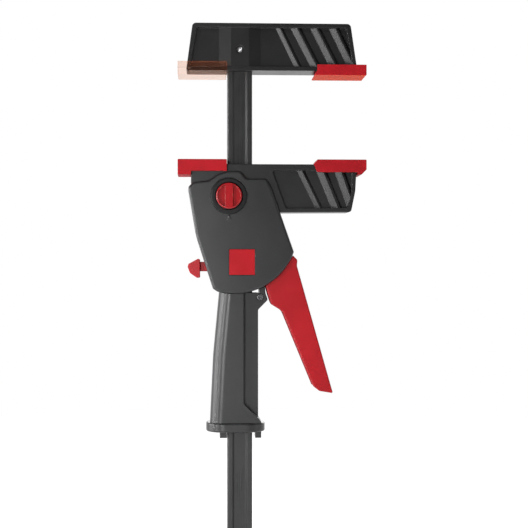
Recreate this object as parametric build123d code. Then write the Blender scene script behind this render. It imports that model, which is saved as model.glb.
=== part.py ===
from build123d import *
from math import cos, radians, sin
import os

# Quick release bar clamp with a clamp / spread selector.
#
# Frame: +Z runs along the bar from its free end to the fixed jaw, +X points
# to the long jaws, +Y points to the back. The origin is the centre of the
# bar's free end face. All sizes are in millimetres.

# ---------------------------------------------------------------- clearances
SLIDE_GAP = 0.3          # between the bar and what slides on it
MOVE_GAP = 0.3           # between other faces that pass each other
PIVOT_GAP = 0.05         # radial, round pins that turn
SHELL_GAP = 0.1          # between a cover and the frame it closes

# ----------------------------------------------------------------------- bar
BAR_WIDTH = 18.8
BAR_DEPTH = 10.0
BAR_WALL = 1.6
BAR_CORNER = 1.2
BAR_TOP = 405.0
GROOVE_WIDTH = 11.0
GROOVE_DEPTH = 1.3
GROOVE_SLOPE = 1.2
END_CAP_THICKNESS = 2.0
END_CAP_PLUG = 9.0
END_CAP_LIP = 0.6
STOP_PIN_RADIUS = 2.0
STOP_PIN_Z = 8.4
STOP_PIN_REACH = 8.0

# ----------------------------------------------------------------- jaw pads
PAD_HALF_DEPTH = 15.0
PAD_THICKNESS = 3.5
PAD_OVERHANG = 6.5
LONG_PAD_LENGTH = 36.8
SHORT_PAD_LENGTH = 36.6
FIXED_LONG_WRAP = 4.4
FIXED_SHORT_WRAP = 6.2
SLIDING_LONG_WRAP = 5.9
SLIDING_LONG_END = 7.6
SLIDING_SHORT_WRAP = 5.2
SLIDING_SHORT_END = 8.0
PAD_BEVEL = 2.5
PAD_CORNER = 3.6
PAD_EDGE = 0.6
PAD_BAR_GAP = 0.5

# --------------------------------------------------------------- fixed jaw
JAW_HALF_DEPTH = 11.5
JAW_REACH = 88.2
JAW_FLOOR = 8.0
JAW_RIM = 3.1
JAW_CORNER = 3.0
JAW_SOCKET = 26.8
FIXED_JAW_HEIGHT = 35.4
FIXED_JAW_LEFT = 40.2
FIXED_JAW_LEFT_TAPER = 4.8
FIXED_JAW_RIGHT_TAPER = 5.2
JAW_FOOT_CORNER = 1.0
BOSS_FACE = 11.0
BOSS_HALF_TOP = 6.8
BOSS_HALF_BASE = 17.0
JAW_PIN_RADIUS = 2.0
JAW_PIN_HEIGHT = 16.0
JAW_PIN_SINK = 1.6
JAW_PIN_RECESS = 3.1

# ------------------------------------------------------------------ flutes
FLUTE_CREST = 0.68       # these three are shares of a flute's width
FLUTE_RISE = 0.36
FLUTE_ROUND = 0.3
FLUTE_ROOT = 0.5
# left edge at the recess top, width, slant
FIXED_FLUTES = [(26.8, 5.6, 0.49), (38.2, 8.0, 0.52), (52.9, 8.0, 0.51), (67.0, 8.0, 0.49)]
SLIDING_FLUTES = [(43.0, 5.6, 0.49), (57.4, 8.0, 0.41), (71.0, 8.0, 0.36)]

# ------------------------------------------------------------- sliding jaw
OPENING_AT_REST = 63.1
SLIDING_ARM_HEIGHT = 36.2
ARM_TOP_INSET = 0.5
ARM_BEND_INSET = 1.6
ARM_FOOT_INSET = 4.8
ARM_BEND_DROP = 20.0
ARM_BEND = 20.0
ARM_RISE = 0.5
ARM_TOE = 2.2
ARM_TOP_RIM = 4.4
SHORT_ARM_LEFT = 36.6
SHORT_ARM_HEIGHT = 20.0
ARM_RECESS_LEFT = 23.9
ARM_RECESS_SLANT = 10.4
RECESS_CORNER = 1.6

# ----------------------------------------------------------------- housing
PIVOT_X = -4.5
PIVOT_DROP = 49.3        # below the arm's top, as the next three are
HUMP_DROP = 5.5
SHOULDER_DROP = 11.1
LEFT_DROP = 17.1
ARC_RADIUS = 47.7
COVER_FACE = 15.0
COVER_PLATE = 2.6
COVER_WALL = 2.2
COVER_EDGE = 1.8
SHOULDER_X = 19.6
LEFT_X = -38.5
FLANK_RADIUS = 60.0
HOUSING_CORNER = 2.0
LEFT_FOOT_DEG = -15.0
RIGHT_FOOT_DEG = 70.0

# ----------------------------------------------------------------- lever
LEVER_HALF_DEPTH = 11.0
CHEEK = 2.5
LEVER_WEB = 3.0
LEVER_EDGE = 1.0
LEVER_ARC_GAP = 0.7
LEVER_SWING = 18.0
LEVER_FOOT_DEG = 29.6
LEVER_HEAD_DEG = 66.8
LEVER_TIP_REACH = 74.4
LEVER_TIP_DROP = 122.5
LEVER_END_WALL = 4.0
CHANNEL_RISE = 30.0
CHANNEL_REACH = 90.0
CHEEK_ROOT = 0.8
LEVER_WEDGE_START = 31.0
LEVER_WEDGE_END = 65.0
NOSE_SWEEP = 26.5
SWEEP_MARGIN = 2.0
PIVOT_RADIUS = 4.0
PIVOT_BOSS = 9.0
PIVOT_SEAT = 1.4
NOSE_RADIUS = 2.5
NOSE_BOSS = 4.6
CLAMP_NOSE_ARM = 20.5
SPREAD_NOSE_ARM = 19.8
SPREAD_NOSE_DEG = 168.0

# ------------------------------------------------------------- mechanism
PLATE_THICKNESS = 3.0
PLATE_HALF_DEPTH = 7.8
PLATE_LEFT = -25.0
PLATE_RIGHT = 19.0
CAVITY_HALF_DEPTH = 8.2
CAVITY_LEFT = -27.2
CAVITY_RIGHT = 22.8
PLATE_CORNER = 2.0
FLOOR_RISE = 11.9        # above the housing's bottom
SHELF_RISE = 13.0        # above the floor
SHELF_THICKNESS = 4.0
WEB_RISE = 19.7          # above the lever pivot
WEB_THICKNESS = 3.8
UPPER_SLOT_RISE = 13.0   # above the web's underside
BRAKE_PLATE_RISE = 7.0   # above the floor
BRAKE_HINGE_X = 21.0
BRAKE_SLOT_LEFT = -20.4
BRAKE_HOLE_GAP = 0.5
BRAKE_SWING = 3.5
BRAKE_SPRING_X = -14.2
TONGUE_HALF_DEPTH = 3.0
SPREAD_BRAKE_LEFT = -22.0
SPREAD_HINGE_X = 14.0
CAM_THROW = 1.0
CAM_PIN_RADIUS = 1.5
SPRING_RADIUS = 3.0
SPRING_WIRE = 0.5
SPRING_POCKET_DEPTH = 4.1
CLAMP_SPRING_X = 14.4
SPREAD_SPRING_X = -15.5
GUIDE_WALL = 2.0
UPPER_GUIDE_HEIGHT = 7.6
LOWER_GUIDE_HEIGHT = 6.0

# ---------------------------------------------------------- selector knob
KNOB_OFFSET = 3.8        # left of the lever pivot
KNOB_RISE = 25.3         # above the lever pivot
KNOB_RADIUS = 9.6
KNOB_HEIGHT = 4.2
KNOB_RIDGE = 5.8
KNOB_DISH = 2.2
KNOB_SHAFT = 4.0
KNOB_EDGE = 0.8
KNOB_RIM = 1.0
BEZEL_RADIUS = 13.4
BEZEL_HEIGHT = 1.2
TICK_DROP = 15.9
TICK_SIZE = 3.4
TICK_PROUD = 0.6

# ---------------------------------------------------------- badge inlay
BADGE_SIZE = 19.6
BADGE_X = 1.4
BADGE_DROP = 24.0        # below the lever pivot
BADGE_CORNER = 0.6
BADGE_THICKNESS = 0.8
BADGE_PROUD = 0.2

# --------------------------------------------------------- release button
STEM_HALF_HEIGHT = 3.6
STEM_HALF_DEPTH = 4.0
STEM_INNER_X = -19.0
BUTTON_INNER_X = -29.8
BUTTON_OUTER_X = -39.2
BUTTON_HALF_DEPTH = 7.0
BUTTON_EDGE = 0.35
SERRATIONS = 4
SERRATION_RADIUS = 0.45

# ------------------------------------------------------------------- grip
GRIP_HEIGHT = 97.6
GRIP_TOP_RISE = 0.9      # above the housing's bottom
GRIP_HALF_DEPTH = 14.0
GRIP_EDGE = 9.0
GRIP_WALL = 2.5
GRIP_TOP_LEFT = -15.4
GRIP_BOTTOM_LEFT = -22.4
GRIP_WAIST_LEFT = -20.0
GRIP_WAIST_HEIGHT = 50.6
GRIP_WAIST_RADIUS = 200.0
GRIP_STEP_X = 2.6
GRIP_RIGHT = 13.7
SPINE_HALF_DEPTH = 8.2
FLARE_HEIGHT = 14.6
FLARE_RADIUS = 5.0
EAR_X = 15.4
EAR_DROP = 2.5           # below the housing's bottom
EAR_GAP_RIGHT = 14.5
LUG_HALF_DEPTH = 4.0
GRIP_SCREW_RADIUS = 1.7
GRIP_SCREW_HEAD = 2.6
GRIP_SCREW_HEAD_DEPTH = 1.6

# ---------------------------------------------------------- grip collar
COLLAR_LEFT = -25.2
COLLAR_RIGHT = 18.9
COLLAR_THICKNESS = 6.7
COLLAR_HALF_DEPTH = 16.0
COLLAR_CORNER = 14.0
COLLAR_EDGE = 1.2
FOOT_HEIGHT = 4.9
FOOT_HALF_DEPTH = 7.5
LEFT_FOOT_REACH = 5.6    # past the bar's narrow face
RIGHT_FOOT_GAP = 2.2
RIGHT_FOOT_REACH = 6.7
SPIGOT_HEIGHT = 5.0
SPIGOT_WALL = 2.4
SPIGOT_DRAFT = 0.6

# ------------------------------------------------------------ cover screws
SCREW_RADIUS = 1.5
SCREW_HEAD = 3.0
SCREW_HEAD_DEPTH = 1.8
SCREW_HEAD_SINK = 0.4
UPPER_SCREWS = [(-26.5, 25.7), (22.9, 27.6)]       # from the lever pivot
LOWER_SCREWS = [(-13.44, 5.96), (71.93, 8.04)]     # degrees, depth below the arc
SCREW_TIP_Y = -10.5
SCREW_BOSS = 3.2
SCREW_BOSS_DEPTH = 3.6

# ------------------------------------------------------------ worked out
BUTTON_TRAVEL = (BRAKE_HINGE_X - BUTTON_OUTER_X) * sin(radians(BRAKE_SWING))
JAW_PIN_REACH = BOSS_FACE - JAW_PIN_SINK
BAR_HALF_WIDTH = BAR_WIDTH / 2
BAR_HALF_DEPTH = BAR_DEPTH / 2
FIXED_JAW_BOTTOM = BAR_TOP - JAW_SOCKET
FIXED_JAW_TOP = FIXED_JAW_BOTTOM + FIXED_JAW_HEIGHT
JAW_PIN_Z = FIXED_JAW_BOTTOM + JAW_PIN_HEIGHT
FIXED_PAD_FACE = FIXED_JAW_BOTTOM - PAD_THICKNESS
SLIDING_PAD_FACE = FIXED_PAD_FACE - OPENING_AT_REST
PAD_TIP = JAW_REACH + PAD_OVERHANG
LONG_PAD_INNER = PAD_TIP - LONG_PAD_LENGTH
SHORT_PAD_INNER = -BAR_HALF_WIDTH - PAD_BAR_GAP
SHORT_PAD_TIP = SHORT_PAD_INNER - SHORT_PAD_LENGTH
ARM_TOP = SLIDING_PAD_FACE - PAD_THICKNESS
ARM_BOTTOM = ARM_TOP - SLIDING_ARM_HEIGHT
PIVOT_Z = ARM_TOP - PIVOT_DROP
HOUSING_TOP = ARM_TOP - HUMP_DROP
SHOULDER_Z = ARM_TOP - SHOULDER_DROP
LEFT_TOP_Z = ARM_TOP - LEFT_DROP
HOUSING_BOTTOM = PIVOT_Z - ARC_RADIUS
FLOOR_Z = HOUSING_BOTTOM + FLOOR_RISE
SHELF_Z = FLOOR_Z + SHELF_RISE
BRAKE_PLATE_Z = FLOOR_Z + BRAKE_PLATE_RISE
WEB_Z = PIVOT_Z + WEB_RISE
UPPER_SLOT_TOP = WEB_Z + UPPER_SLOT_RISE
SPRING_POCKET_TOP = UPPER_SLOT_TOP + SPRING_POCKET_DEPTH
KNOB_X = PIVOT_X - KNOB_OFFSET
KNOB_Z = PIVOT_Z + KNOB_RISE
TICK_Z = KNOB_Z - TICK_DROP
BADGE_Z = PIVOT_Z - BADGE_DROP
GRIP_TOP = HOUSING_BOTTOM + GRIP_TOP_RISE
GRIP_BOTTOM = GRIP_TOP - GRIP_HEIGHT
GRIP_WAIST_Z = GRIP_BOTTOM + GRIP_WAIST_HEIGHT
FLARE_TOP = GRIP_BOTTOM + FLARE_HEIGHT
EAR_Z = HOUSING_BOTTOM - EAR_DROP
FRAME_INSET = COVER_WALL + SHELL_GAP
FRAME_HALF_DEPTH = COVER_FACE - COVER_PLATE - SHELL_GAP
CHEEK_INNER = LEVER_HALF_DEPTH - CHEEK
CHEEK_PATH = LEVER_HALF_DEPTH + MOVE_GAP
LEVER_ARC = ARC_RADIUS + LEVER_ARC_GAP
CHEEK_SWEEP = (LEVER_WEDGE_START - LEVER_SWING - SWEEP_MARGIN, LEVER_WEDGE_END + SWEEP_MARGIN)
CLAMP_NOSE_DEG = LEVER_SWING / 2
CLAMP_NOSE = (PIVOT_X + CLAMP_NOSE_ARM * cos(radians(CLAMP_NOSE_DEG)),
              PIVOT_Z + CLAMP_NOSE_ARM * sin(radians(CLAMP_NOSE_DEG)))
SPREAD_NOSE = (PIVOT_X + SPREAD_NOSE_ARM * cos(radians(SPREAD_NOSE_DEG)),
               PIVOT_Z + SPREAD_NOSE_ARM * sin(radians(SPREAD_NOSE_DEG)))
CLAMP_PLATE_TOP = CLAMP_NOSE[1] - NOSE_RADIUS - MOVE_GAP
SPREAD_PLATE_BOTTOM = SPREAD_NOSE[1] + NOSE_RADIUS + MOVE_GAP
SPREAD_BRAKE_BOTTOM = KNOB_Z + CAM_PIN_RADIUS + MOVE_GAP
SPREAD_BRAKE_MIDDLE = SPREAD_BRAKE_BOTTOM + PLATE_THICKNESS / 2
BRAKE_MIDDLE_Z = BRAKE_PLATE_Z + PLATE_THICKNESS / 2
COLLAR_BOTTOM = GRIP_BOTTOM - COLLAR_THICKNESS
SHELF_TOP = SHELF_Z + SHELF_THICKNESS
WEB_TOP = WEB_Z + WEB_THICKNESS
FRAME_BOTTOM = HOUSING_BOTTOM + FRAME_INSET
LEVER_TIP = (PIVOT_X + LEVER_TIP_REACH, PIVOT_Z - LEVER_TIP_DROP)


# ================================================================== helpers
def slab(face, y_front, y_back):
    """Extrude a front-view face, drawn in X and Z, from y_front back to y_back."""
    return extrude(Plane.XZ.offset(-y_back) * face, y_back - y_front, dir=(0, -1, 0))


def both_sides(face, y_near, y_far):
    """The same front-view face extruded in front of and behind the bar."""
    return slab(face, -y_far, -y_near) + slab(face, y_near, y_far)


def block(x_low, x_high, y_low, y_high, z_low, z_high):
    """A plain box between two corners."""
    size = (x_high - x_low, y_high - y_low, z_high - z_low)
    centre = ((x_low + x_high) / 2, (y_low + y_high) / 2, (z_low + z_high) / 2)
    return Pos(*centre) * Box(*size)


def disc(centre, radius):
    """A round front-view face."""
    return Pos(*centre) * Circle(radius)


def outline(points, radii):
    """A closed front-view face with one radius for each corner."""
    return make_face(FilletPolyline(*points, radius=radii, close=True))


def about_pivot(angle_deg, radius):
    """A point about the lever pivot, its angle counted from straight down towards +X."""
    angle = radians(angle_deg)
    return (PIVOT_X + radius * sin(angle), PIVOT_Z - radius * cos(angle))


def shifted(point, *steps):
    """Points that lie at the given steps in X and Z from one point."""
    return [(point[0] + step_x, point[1] + step_z) for step_x, step_z in steps]


def sector(start_deg, end_deg, radius):
    """A pie slice about the lever pivot."""
    middle = (start_deg + end_deg) / 2
    arc = ThreePointArc(about_pivot(start_deg, radius), about_pivot(middle, radius),
                        about_pivot(end_deg, radius))
    centre = (PIVOT_X, PIVOT_Z)
    return make_face([Line(centre, arc @ 0), arc, Line(arc @ 1, centre)])


def bar_envelope(gap, z_low, z_high):
    """The bar's outer shape with a gap all round, used for the holes it passes through."""
    section = RectangleRounded(BAR_WIDTH + 2 * gap, BAR_DEPTH + 2 * gap, BAR_CORNER + gap)
    return Pos(0, 0, z_low) * extrude(section, z_high - z_low)


def save(shape, name):
    """Write one node."""
    export_step(shape, f"parts/{name}.step")


# ================================================================ bar group
def make_bar():
    """Hollow drawn bar with a shallow groove down both wide faces."""
    height = BAR_TOP - END_CAP_THICKNESS
    outer = RectangleRounded(BAR_WIDTH, BAR_DEPTH, BAR_CORNER)
    inner = RectangleRounded(BAR_WIDTH - 2 * BAR_WALL, BAR_DEPTH - 2 * BAR_WALL, BAR_CORNER / 2)
    half = GROOVE_WIDTH / 2
    groove = Polygon((-half, 0), (half, 0), (half - GROOVE_SLOPE, GROOVE_DEPTH),
                     (GROOVE_SLOPE - half, GROOVE_DEPTH), align=None)
    skin = Polygon((-half - BAR_WALL, 0), (half + BAR_WALL, 0),
                   (half + BAR_WALL / 2 - GROOVE_SLOPE, GROOVE_DEPTH + BAR_WALL),
                   (GROOVE_SLOPE - BAR_WALL / 2 - half, GROOVE_DEPTH + BAR_WALL), align=None)
    for turn in (0, 180):
        face = Rot(0, 0, turn) * Pos(0, -BAR_HALF_DEPTH)
        outer -= face * groove
        inner -= face * skin
    bar = Pos(0, 0, END_CAP_THICKNESS) * extrude(outer - inner, height)
    bar -= slab(disc((0, STOP_PIN_Z), STOP_PIN_RADIUS), -STOP_PIN_REACH, STOP_PIN_REACH)
    return bar - slab(disc((0, JAW_PIN_Z), JAW_PIN_RADIUS), -STOP_PIN_REACH, STOP_PIN_REACH)


def make_end_cap(bar):
    """Plastic plug that closes the free end of the bar."""
    lip = RectangleRounded(BAR_WIDTH + 2 * END_CAP_LIP, BAR_DEPTH + 2 * END_CAP_LIP,
                           BAR_CORNER + END_CAP_LIP)
    plug = RectangleRounded(BAR_WIDTH - 2 * BAR_WALL, BAR_DEPTH - 2 * BAR_WALL, BAR_CORNER / 2)
    cap = extrude(lip, END_CAP_THICKNESS) + extrude(plug, END_CAP_PLUG)
    cap = chamfer(cap.faces().sort_by(Axis.Z)[0].edges(), END_CAP_LIP / 2)
    cap -= bar
    return cap - slab(disc((0, STOP_PIN_Z), STOP_PIN_RADIUS), -STOP_PIN_REACH, STOP_PIN_REACH)


def make_stop_pin():
    """Cross pin that keeps the carriage on the bar."""
    return slab(disc((0, STOP_PIN_Z), STOP_PIN_RADIUS), -STOP_PIN_REACH, STOP_PIN_REACH)


# ================================================================ jaw group
def slanted_prism(profile, z_top, drop, slant):
    """A profile in X and Y drawn down a slanted line."""
    path = Line((0, 0, z_top), (slant * drop, 0, z_top - drop))
    return sweep(Plane.XY.offset(z_top) * profile, path=path)


def flute(x_top, width, slant, z_top, z_bottom, side):
    """One slanted ridge on a recess floor: a long rise, a rounded crest and a short fall."""
    root = side * (JAW_FLOOR - FLUTE_ROOT)
    floor = side * JAW_FLOOR
    crest = (x_top + FLUTE_CREST * width, side * (JAW_FLOOR + FLUTE_RISE * width))
    profile = outline([(x_top, root), (x_top, floor), crest, (x_top + width, floor),
                       (x_top + width, root)], [0, 0, FLUTE_ROUND * width, 0, 0])
    return slanted_prism(profile, z_top, z_top - z_bottom, slant)


def fixed_jaw_face(inset_side, inset_top, inset_bottom, corner):
    """Front view of the fixed jaw or, with insets, of its recess."""
    bottom = FIXED_JAW_BOTTOM + inset_bottom
    top = FIXED_JAW_TOP - inset_top
    left = -FIXED_JAW_LEFT + inset_side
    right = JAW_REACH - inset_side
    return outline([(left, bottom), (left + FIXED_JAW_LEFT_TAPER, top),
                    (right - FIXED_JAW_RIGHT_TAPER, top), (right, bottom)],
                   [JAW_FOOT_CORNER, corner, corner, JAW_FOOT_CORNER])


def relief(profile_side, z_bottom, z_top):
    """A recess floor's raised profile, one side of the jaw."""
    return Pos(0, 0, z_bottom) * extrude(profile_side, z_top - z_bottom, dir=(0, 0, 1))


def make_fixed_jaw():
    """Moulded upper jaw: rim all round, raised bar boss, slanted flutes."""
    jaw = slab(fixed_jaw_face(0, 0, 0, JAW_CORNER), -JAW_HALF_DEPTH, JAW_HALF_DEPTH)
    recess = fixed_jaw_face(JAW_RIM, JAW_RIM, JAW_RIM, RECESS_CORNER)
    floor_z = FIXED_JAW_BOTTOM + JAW_RIM
    ceiling_z = FIXED_JAW_TOP - JAW_RIM
    root = JAW_FLOOR - FLUTE_ROOT
    for side in (-1, 1):
        pocket = slab(recess, *sorted((side * JAW_FLOOR, side * JAW_HALF_DEPTH)))
        boss = Polygon((-BOSS_HALF_BASE, side * root), (-BOSS_HALF_TOP, side * BOSS_FACE),
                       (BOSS_HALF_TOP, side * BOSS_FACE), (BOSS_HALF_BASE, side * root),
                       align=None)
        pocket -= relief(boss, floor_z, ceiling_z)
        for x_top, width, slant in FIXED_FLUTES:
            pocket -= flute(x_top, width, slant, ceiling_z, floor_z, side)
        jaw -= pocket
    jaw -= bar_envelope(0, FIXED_JAW_BOTTOM, BAR_TOP)
    jaw -= slab(disc((0, JAW_PIN_Z), JAW_PIN_RADIUS), -BOSS_FACE, BOSS_FACE)
    return jaw - both_sides(disc((0, JAW_PIN_Z), JAW_PIN_RECESS), JAW_PIN_REACH, BOSS_FACE)


def make_jaw_pin():
    """Roll pin that holds the fixed jaw on the bar."""
    return slab(disc((0, JAW_PIN_Z), JAW_PIN_RADIUS), -JAW_PIN_REACH, JAW_PIN_REACH)


def pad_outlines():
    """Corners of the front view of each pad, by the name of its node."""
    long_top = FIXED_JAW_BOTTOM + FIXED_LONG_WRAP
    short_top = FIXED_JAW_BOTTOM + FIXED_SHORT_WRAP
    long_low = ARM_TOP - SLIDING_LONG_WRAP
    long_end = ARM_TOP - SLIDING_LONG_END
    short_low = ARM_TOP - SLIDING_SHORT_WRAP
    short_end = ARM_TOP - SLIDING_SHORT_END
    return {
        "fixed_jaw_long_pad": [
            (LONG_PAD_INNER - PAD_BEVEL, FIXED_PAD_FACE), (PAD_TIP, FIXED_PAD_FACE),
            (PAD_TIP, long_top), (LONG_PAD_INNER, long_top), (LONG_PAD_INNER, FIXED_JAW_BOTTOM)],
        "fixed_jaw_short_pad": [
            (SHORT_PAD_INNER, FIXED_PAD_FACE), (SHORT_PAD_TIP, FIXED_PAD_FACE),
            (SHORT_PAD_TIP, short_top), (SHORT_PAD_INNER, short_top)],
        "sliding_jaw_long_pad": [
            (LONG_PAD_INNER, SLIDING_PAD_FACE), (PAD_TIP, SLIDING_PAD_FACE),
            (PAD_TIP, long_end + PAD_CORNER), (PAD_TIP - PAD_CORNER, long_end),
            (JAW_REACH, long_end), (JAW_REACH, long_low), (LONG_PAD_INNER, long_low),
            (LONG_PAD_INNER - PAD_BEVEL, ARM_TOP)],
        "sliding_jaw_short_pad": [
            (SHORT_PAD_INNER, SLIDING_PAD_FACE), (SHORT_PAD_TIP, SLIDING_PAD_FACE),
            (SHORT_PAD_TIP, short_end), (-SHORT_ARM_LEFT, short_end),
            (-SHORT_ARM_LEFT, short_low), (SHORT_PAD_INNER, short_low)],
    }


def make_pad(corners, up, jaw_body):
    """Soft cap pushed over the rim and the end of a jaw; up is +1 where its face looks up."""
    pad = slab(Polygon(*corners, align=None), -PAD_HALF_DEPTH, PAD_HALF_DEPTH)
    working_edges = pad.faces().sort_by(Axis.Z)[-1 if up > 0 else 0].edges()
    pad = fillet(working_edges, PAD_EDGE)
    return pad - jaw_body


def long_arm_face(inset_side, inset_top, inset_bottom, corner, left_foot, left_top):
    """Front view of the long arm of the sliding jaw or, with insets, of its recess."""
    top = ARM_TOP - inset_top
    bottom = ARM_BOTTOM + inset_bottom
    right = JAW_REACH - inset_side
    return outline([(left_foot, bottom), (left_top, top), (right - ARM_TOP_INSET, top),
                    (right - ARM_BEND_INSET, top - ARM_BEND_DROP),
                    (right - ARM_FOOT_INSET, bottom + ARM_RISE)],
                   [corner, corner, JAW_FOOT_CORNER, ARM_BEND, ARM_TOE])


# ================================================================== housing
def housing_outline():
    """Front view of the housing: straight flanks, stepped top, round bottom."""
    left_foot = about_pivot(LEFT_FOOT_DEG, ARC_RADIUS)
    right_foot = about_pivot(RIGHT_FOOT_DEG, ARC_RADIUS)
    lowest = about_pivot((LEFT_FOOT_DEG + RIGHT_FOOT_DEG) / 2, ARC_RADIUS)
    bottom = ThreePointArc(left_foot, lowest, right_foot)
    points = [left_foot, *shifted(left_foot, (-3.4, 2.2)), (LEFT_X + 5.6, PIVOT_Z - 4.6),
              *shifted((LEFT_X, LEFT_TOP_Z), (0, -3.4), (0, 0), (3.4, 3.3), (15.1, 4.7)),
              *shifted((KNOB_X, HOUSING_TOP), (-8.2, -2.0), (-0.7, 0), (8.7, 0)),
              (KNOB_X + BEZEL_RADIUS, SHOULDER_Z),
              *shifted((SHOULDER_X, SHOULDER_Z), (0, 0), (3.8, -6.6)), right_foot]
    tight, easy = HOUSING_CORNER, 2 * HOUSING_CORNER
    radii = [tight, FLANK_RADIUS, tight, tight, tight, easy, easy, easy, easy, tight, tight, tight]
    upper = FilletPolyline(*points, radius=radii)
    face = make_face(upper.edges() + bottom.edges())
    feet = face.vertices().filter_by(
        lambda corner: min((Vector(*foot) - Vector(corner.X, corner.Y)).length
                           for foot in (left_foot, right_foot)) < SHELL_GAP)
    return fillet(feet, HOUSING_CORNER)


def rod(centre, radius, y_front, y_back):
    """A round bar along Y."""
    return slab(disc(centre, radius), y_front, y_back)


def screw_bosses(radius, y_front, y_back):
    """Round columns at every cover screw."""
    places = shifted((PIVOT_X, PIVOT_Z), *UPPER_SCREWS)
    places += [about_pivot(angle, ARC_RADIUS - depth) for angle, depth in LOWER_SCREWS]
    return Part() + [rod(place, radius, y_front, y_back) for place in places]


def stem_window():
    """The way of the release button's stem through the left wall."""
    low = BRAKE_MIDDLE_Z - STEM_HALF_HEIGHT - BUTTON_TRAVEL
    high = BRAKE_MIDDLE_Z + STEM_HALF_HEIGHT + 2 * MOVE_GAP
    reach = STEM_HALF_DEPTH + MOVE_GAP
    return block(LEFT_X, BRAKE_SLOT_LEFT + 1, -reach, reach, low, high)


def arms_shape():
    """Both arms of the sliding jaw as plain solids."""
    long_arm = long_arm_face(0, 0, 0, 0.5, 0, 0)
    short_arm = outline([(-SHORT_ARM_LEFT, ARM_TOP - SHORT_ARM_HEIGHT), (-SHORT_ARM_LEFT, ARM_TOP),
                         (1, ARM_TOP), (1, ARM_TOP - SHORT_ARM_HEIGHT)], [0.5, 0.8, 0.1, 0.1])
    arms = slab(long_arm, -JAW_HALF_DEPTH, JAW_HALF_DEPTH)
    return arms + slab(short_arm, -JAW_HALF_DEPTH, JAW_HALF_DEPTH)


def arm_recess(side):
    """The fluted recess in one face of the long arm."""
    floor_z = ARM_BOTTOM + JAW_RIM
    ceiling_z = ARM_TOP - ARM_TOP_RIM
    face = long_arm_face(JAW_RIM, ARM_TOP_RIM, JAW_RIM, RECESS_CORNER,
                         ARM_RECESS_LEFT + ARM_RECESS_SLANT, ARM_RECESS_LEFT)
    pocket = slab(face, *sorted((side * JAW_FLOOR, side * JAW_HALF_DEPTH)))
    for x_top, width, slant in SLIDING_FLUTES:
        pocket -= flute(x_top, width, slant, ceiling_z, floor_z, side)
    return pocket


def make_sliding_jaw(frame_face, lug, guides):
    """Moulded frame of the carriage with both arms and all the mechanism's slots."""
    jaw = slab(frame_face, -FRAME_HALF_DEPTH, FRAME_HALF_DEPTH) + arms_shape()
    for side in (-1, 1):
        jaw -= arm_recess(side)
    jaw += lug
    half = CAVITY_HALF_DEPTH
    jaw -= block(CAVITY_LEFT, CAVITY_RIGHT, -half, half, SHELF_TOP, WEB_Z)
    jaw -= block(BRAKE_SLOT_LEFT, CAVITY_RIGHT, -half, half, FLOOR_Z, SHELF_Z)
    jaw -= block(SPREAD_BRAKE_LEFT - MOVE_GAP, SPREAD_HINGE_X, -half, half,
                 WEB_TOP, UPPER_SLOT_TOP)
    jaw -= rod((SPREAD_HINGE_X, SPREAD_BRAKE_MIDDLE), PLATE_THICKNESS / 2 + MOVE_GAP, -half, half)
    channel = sector(*CHEEK_SWEEP, ARC_RADIUS)
    jaw -= both_sides(channel + disc((PIVOT_X, PIVOT_Z), NOSE_SWEEP), half, COVER_FACE)
    jaw -= bar_envelope(SLIDE_GAP, EAR_Z, ARM_TOP)
    jaw -= stem_window()
    jaw -= Pos(SPREAD_SPRING_X, 0, UPPER_SLOT_TOP) * extrude(
        Circle(SPRING_RADIUS + MOVE_GAP), SPRING_POCKET_TOP - UPPER_SLOT_TOP)
    jaw -= rod((KNOB_X, KNOB_Z), KNOB_SHAFT + PIVOT_GAP, -FRAME_HALF_DEPTH, -half)
    jaw -= screw_bosses(SCREW_RADIUS + SHELL_GAP, -FRAME_HALF_DEPTH, FRAME_HALF_DEPTH)
    jaw -= screw_bosses(SCREW_BOSS + SHELL_GAP, -FRAME_HALF_DEPTH,
                        SCREW_BOSS_DEPTH - FRAME_HALF_DEPTH)
    jaw -= rod((EAR_X, EAR_Z), GRIP_SCREW_RADIUS, -LUG_HALF_DEPTH, LUG_HALF_DEPTH)
    for guide in guides:
        jaw -= guide
    return jaw


def guide_seat(z_low, z_high):
    """The pocket that a guide fills."""
    outer = RectangleRounded(BAR_WIDTH + 2 * (SLIDE_GAP + GUIDE_WALL),
                             BAR_DEPTH + 2 * (SLIDE_GAP + GUIDE_WALL), BAR_CORNER + GUIDE_WALL)
    return Pos(0, 0, z_low) * extrude(outer, z_high - z_low)


def make_guide(z_low, z_high):
    """Sleeve that carries the carriage on the bar."""
    return guide_seat(z_low, z_high) - bar_envelope(SLIDE_GAP, z_low, z_high)


def make_tray(housing):
    """Moulded cover: a plate with a wall that reaches to the middle plane."""
    tray = slab(housing, -COVER_FACE, 0)
    tray = fillet(tray.faces().sort_by(Axis.Y)[0].edges(), COVER_EDGE)
    inner = offset(housing, amount=-COVER_WALL)
    tray -= slab(inner, -FRAME_HALF_DEPTH - SHELL_GAP, 0)
    tray -= arms_shape()
    tray -= bar_envelope(SLIDE_GAP, EAR_Z, ARM_TOP)
    tray -= slab(sector(*CHEEK_SWEEP, ARC_RADIUS + COVER_PLATE), -CHEEK_PATH, 0)
    tray -= stem_window()
    return tray


def pivot_stub(side):
    """One of the two pins that carry the lever."""
    return rod((PIVOT_X, PIVOT_Z), PIVOT_RADIUS,
               *sorted((side * (CHEEK_INNER - SHELL_GAP), side * (COVER_FACE - PIVOT_SEAT))))


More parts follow.
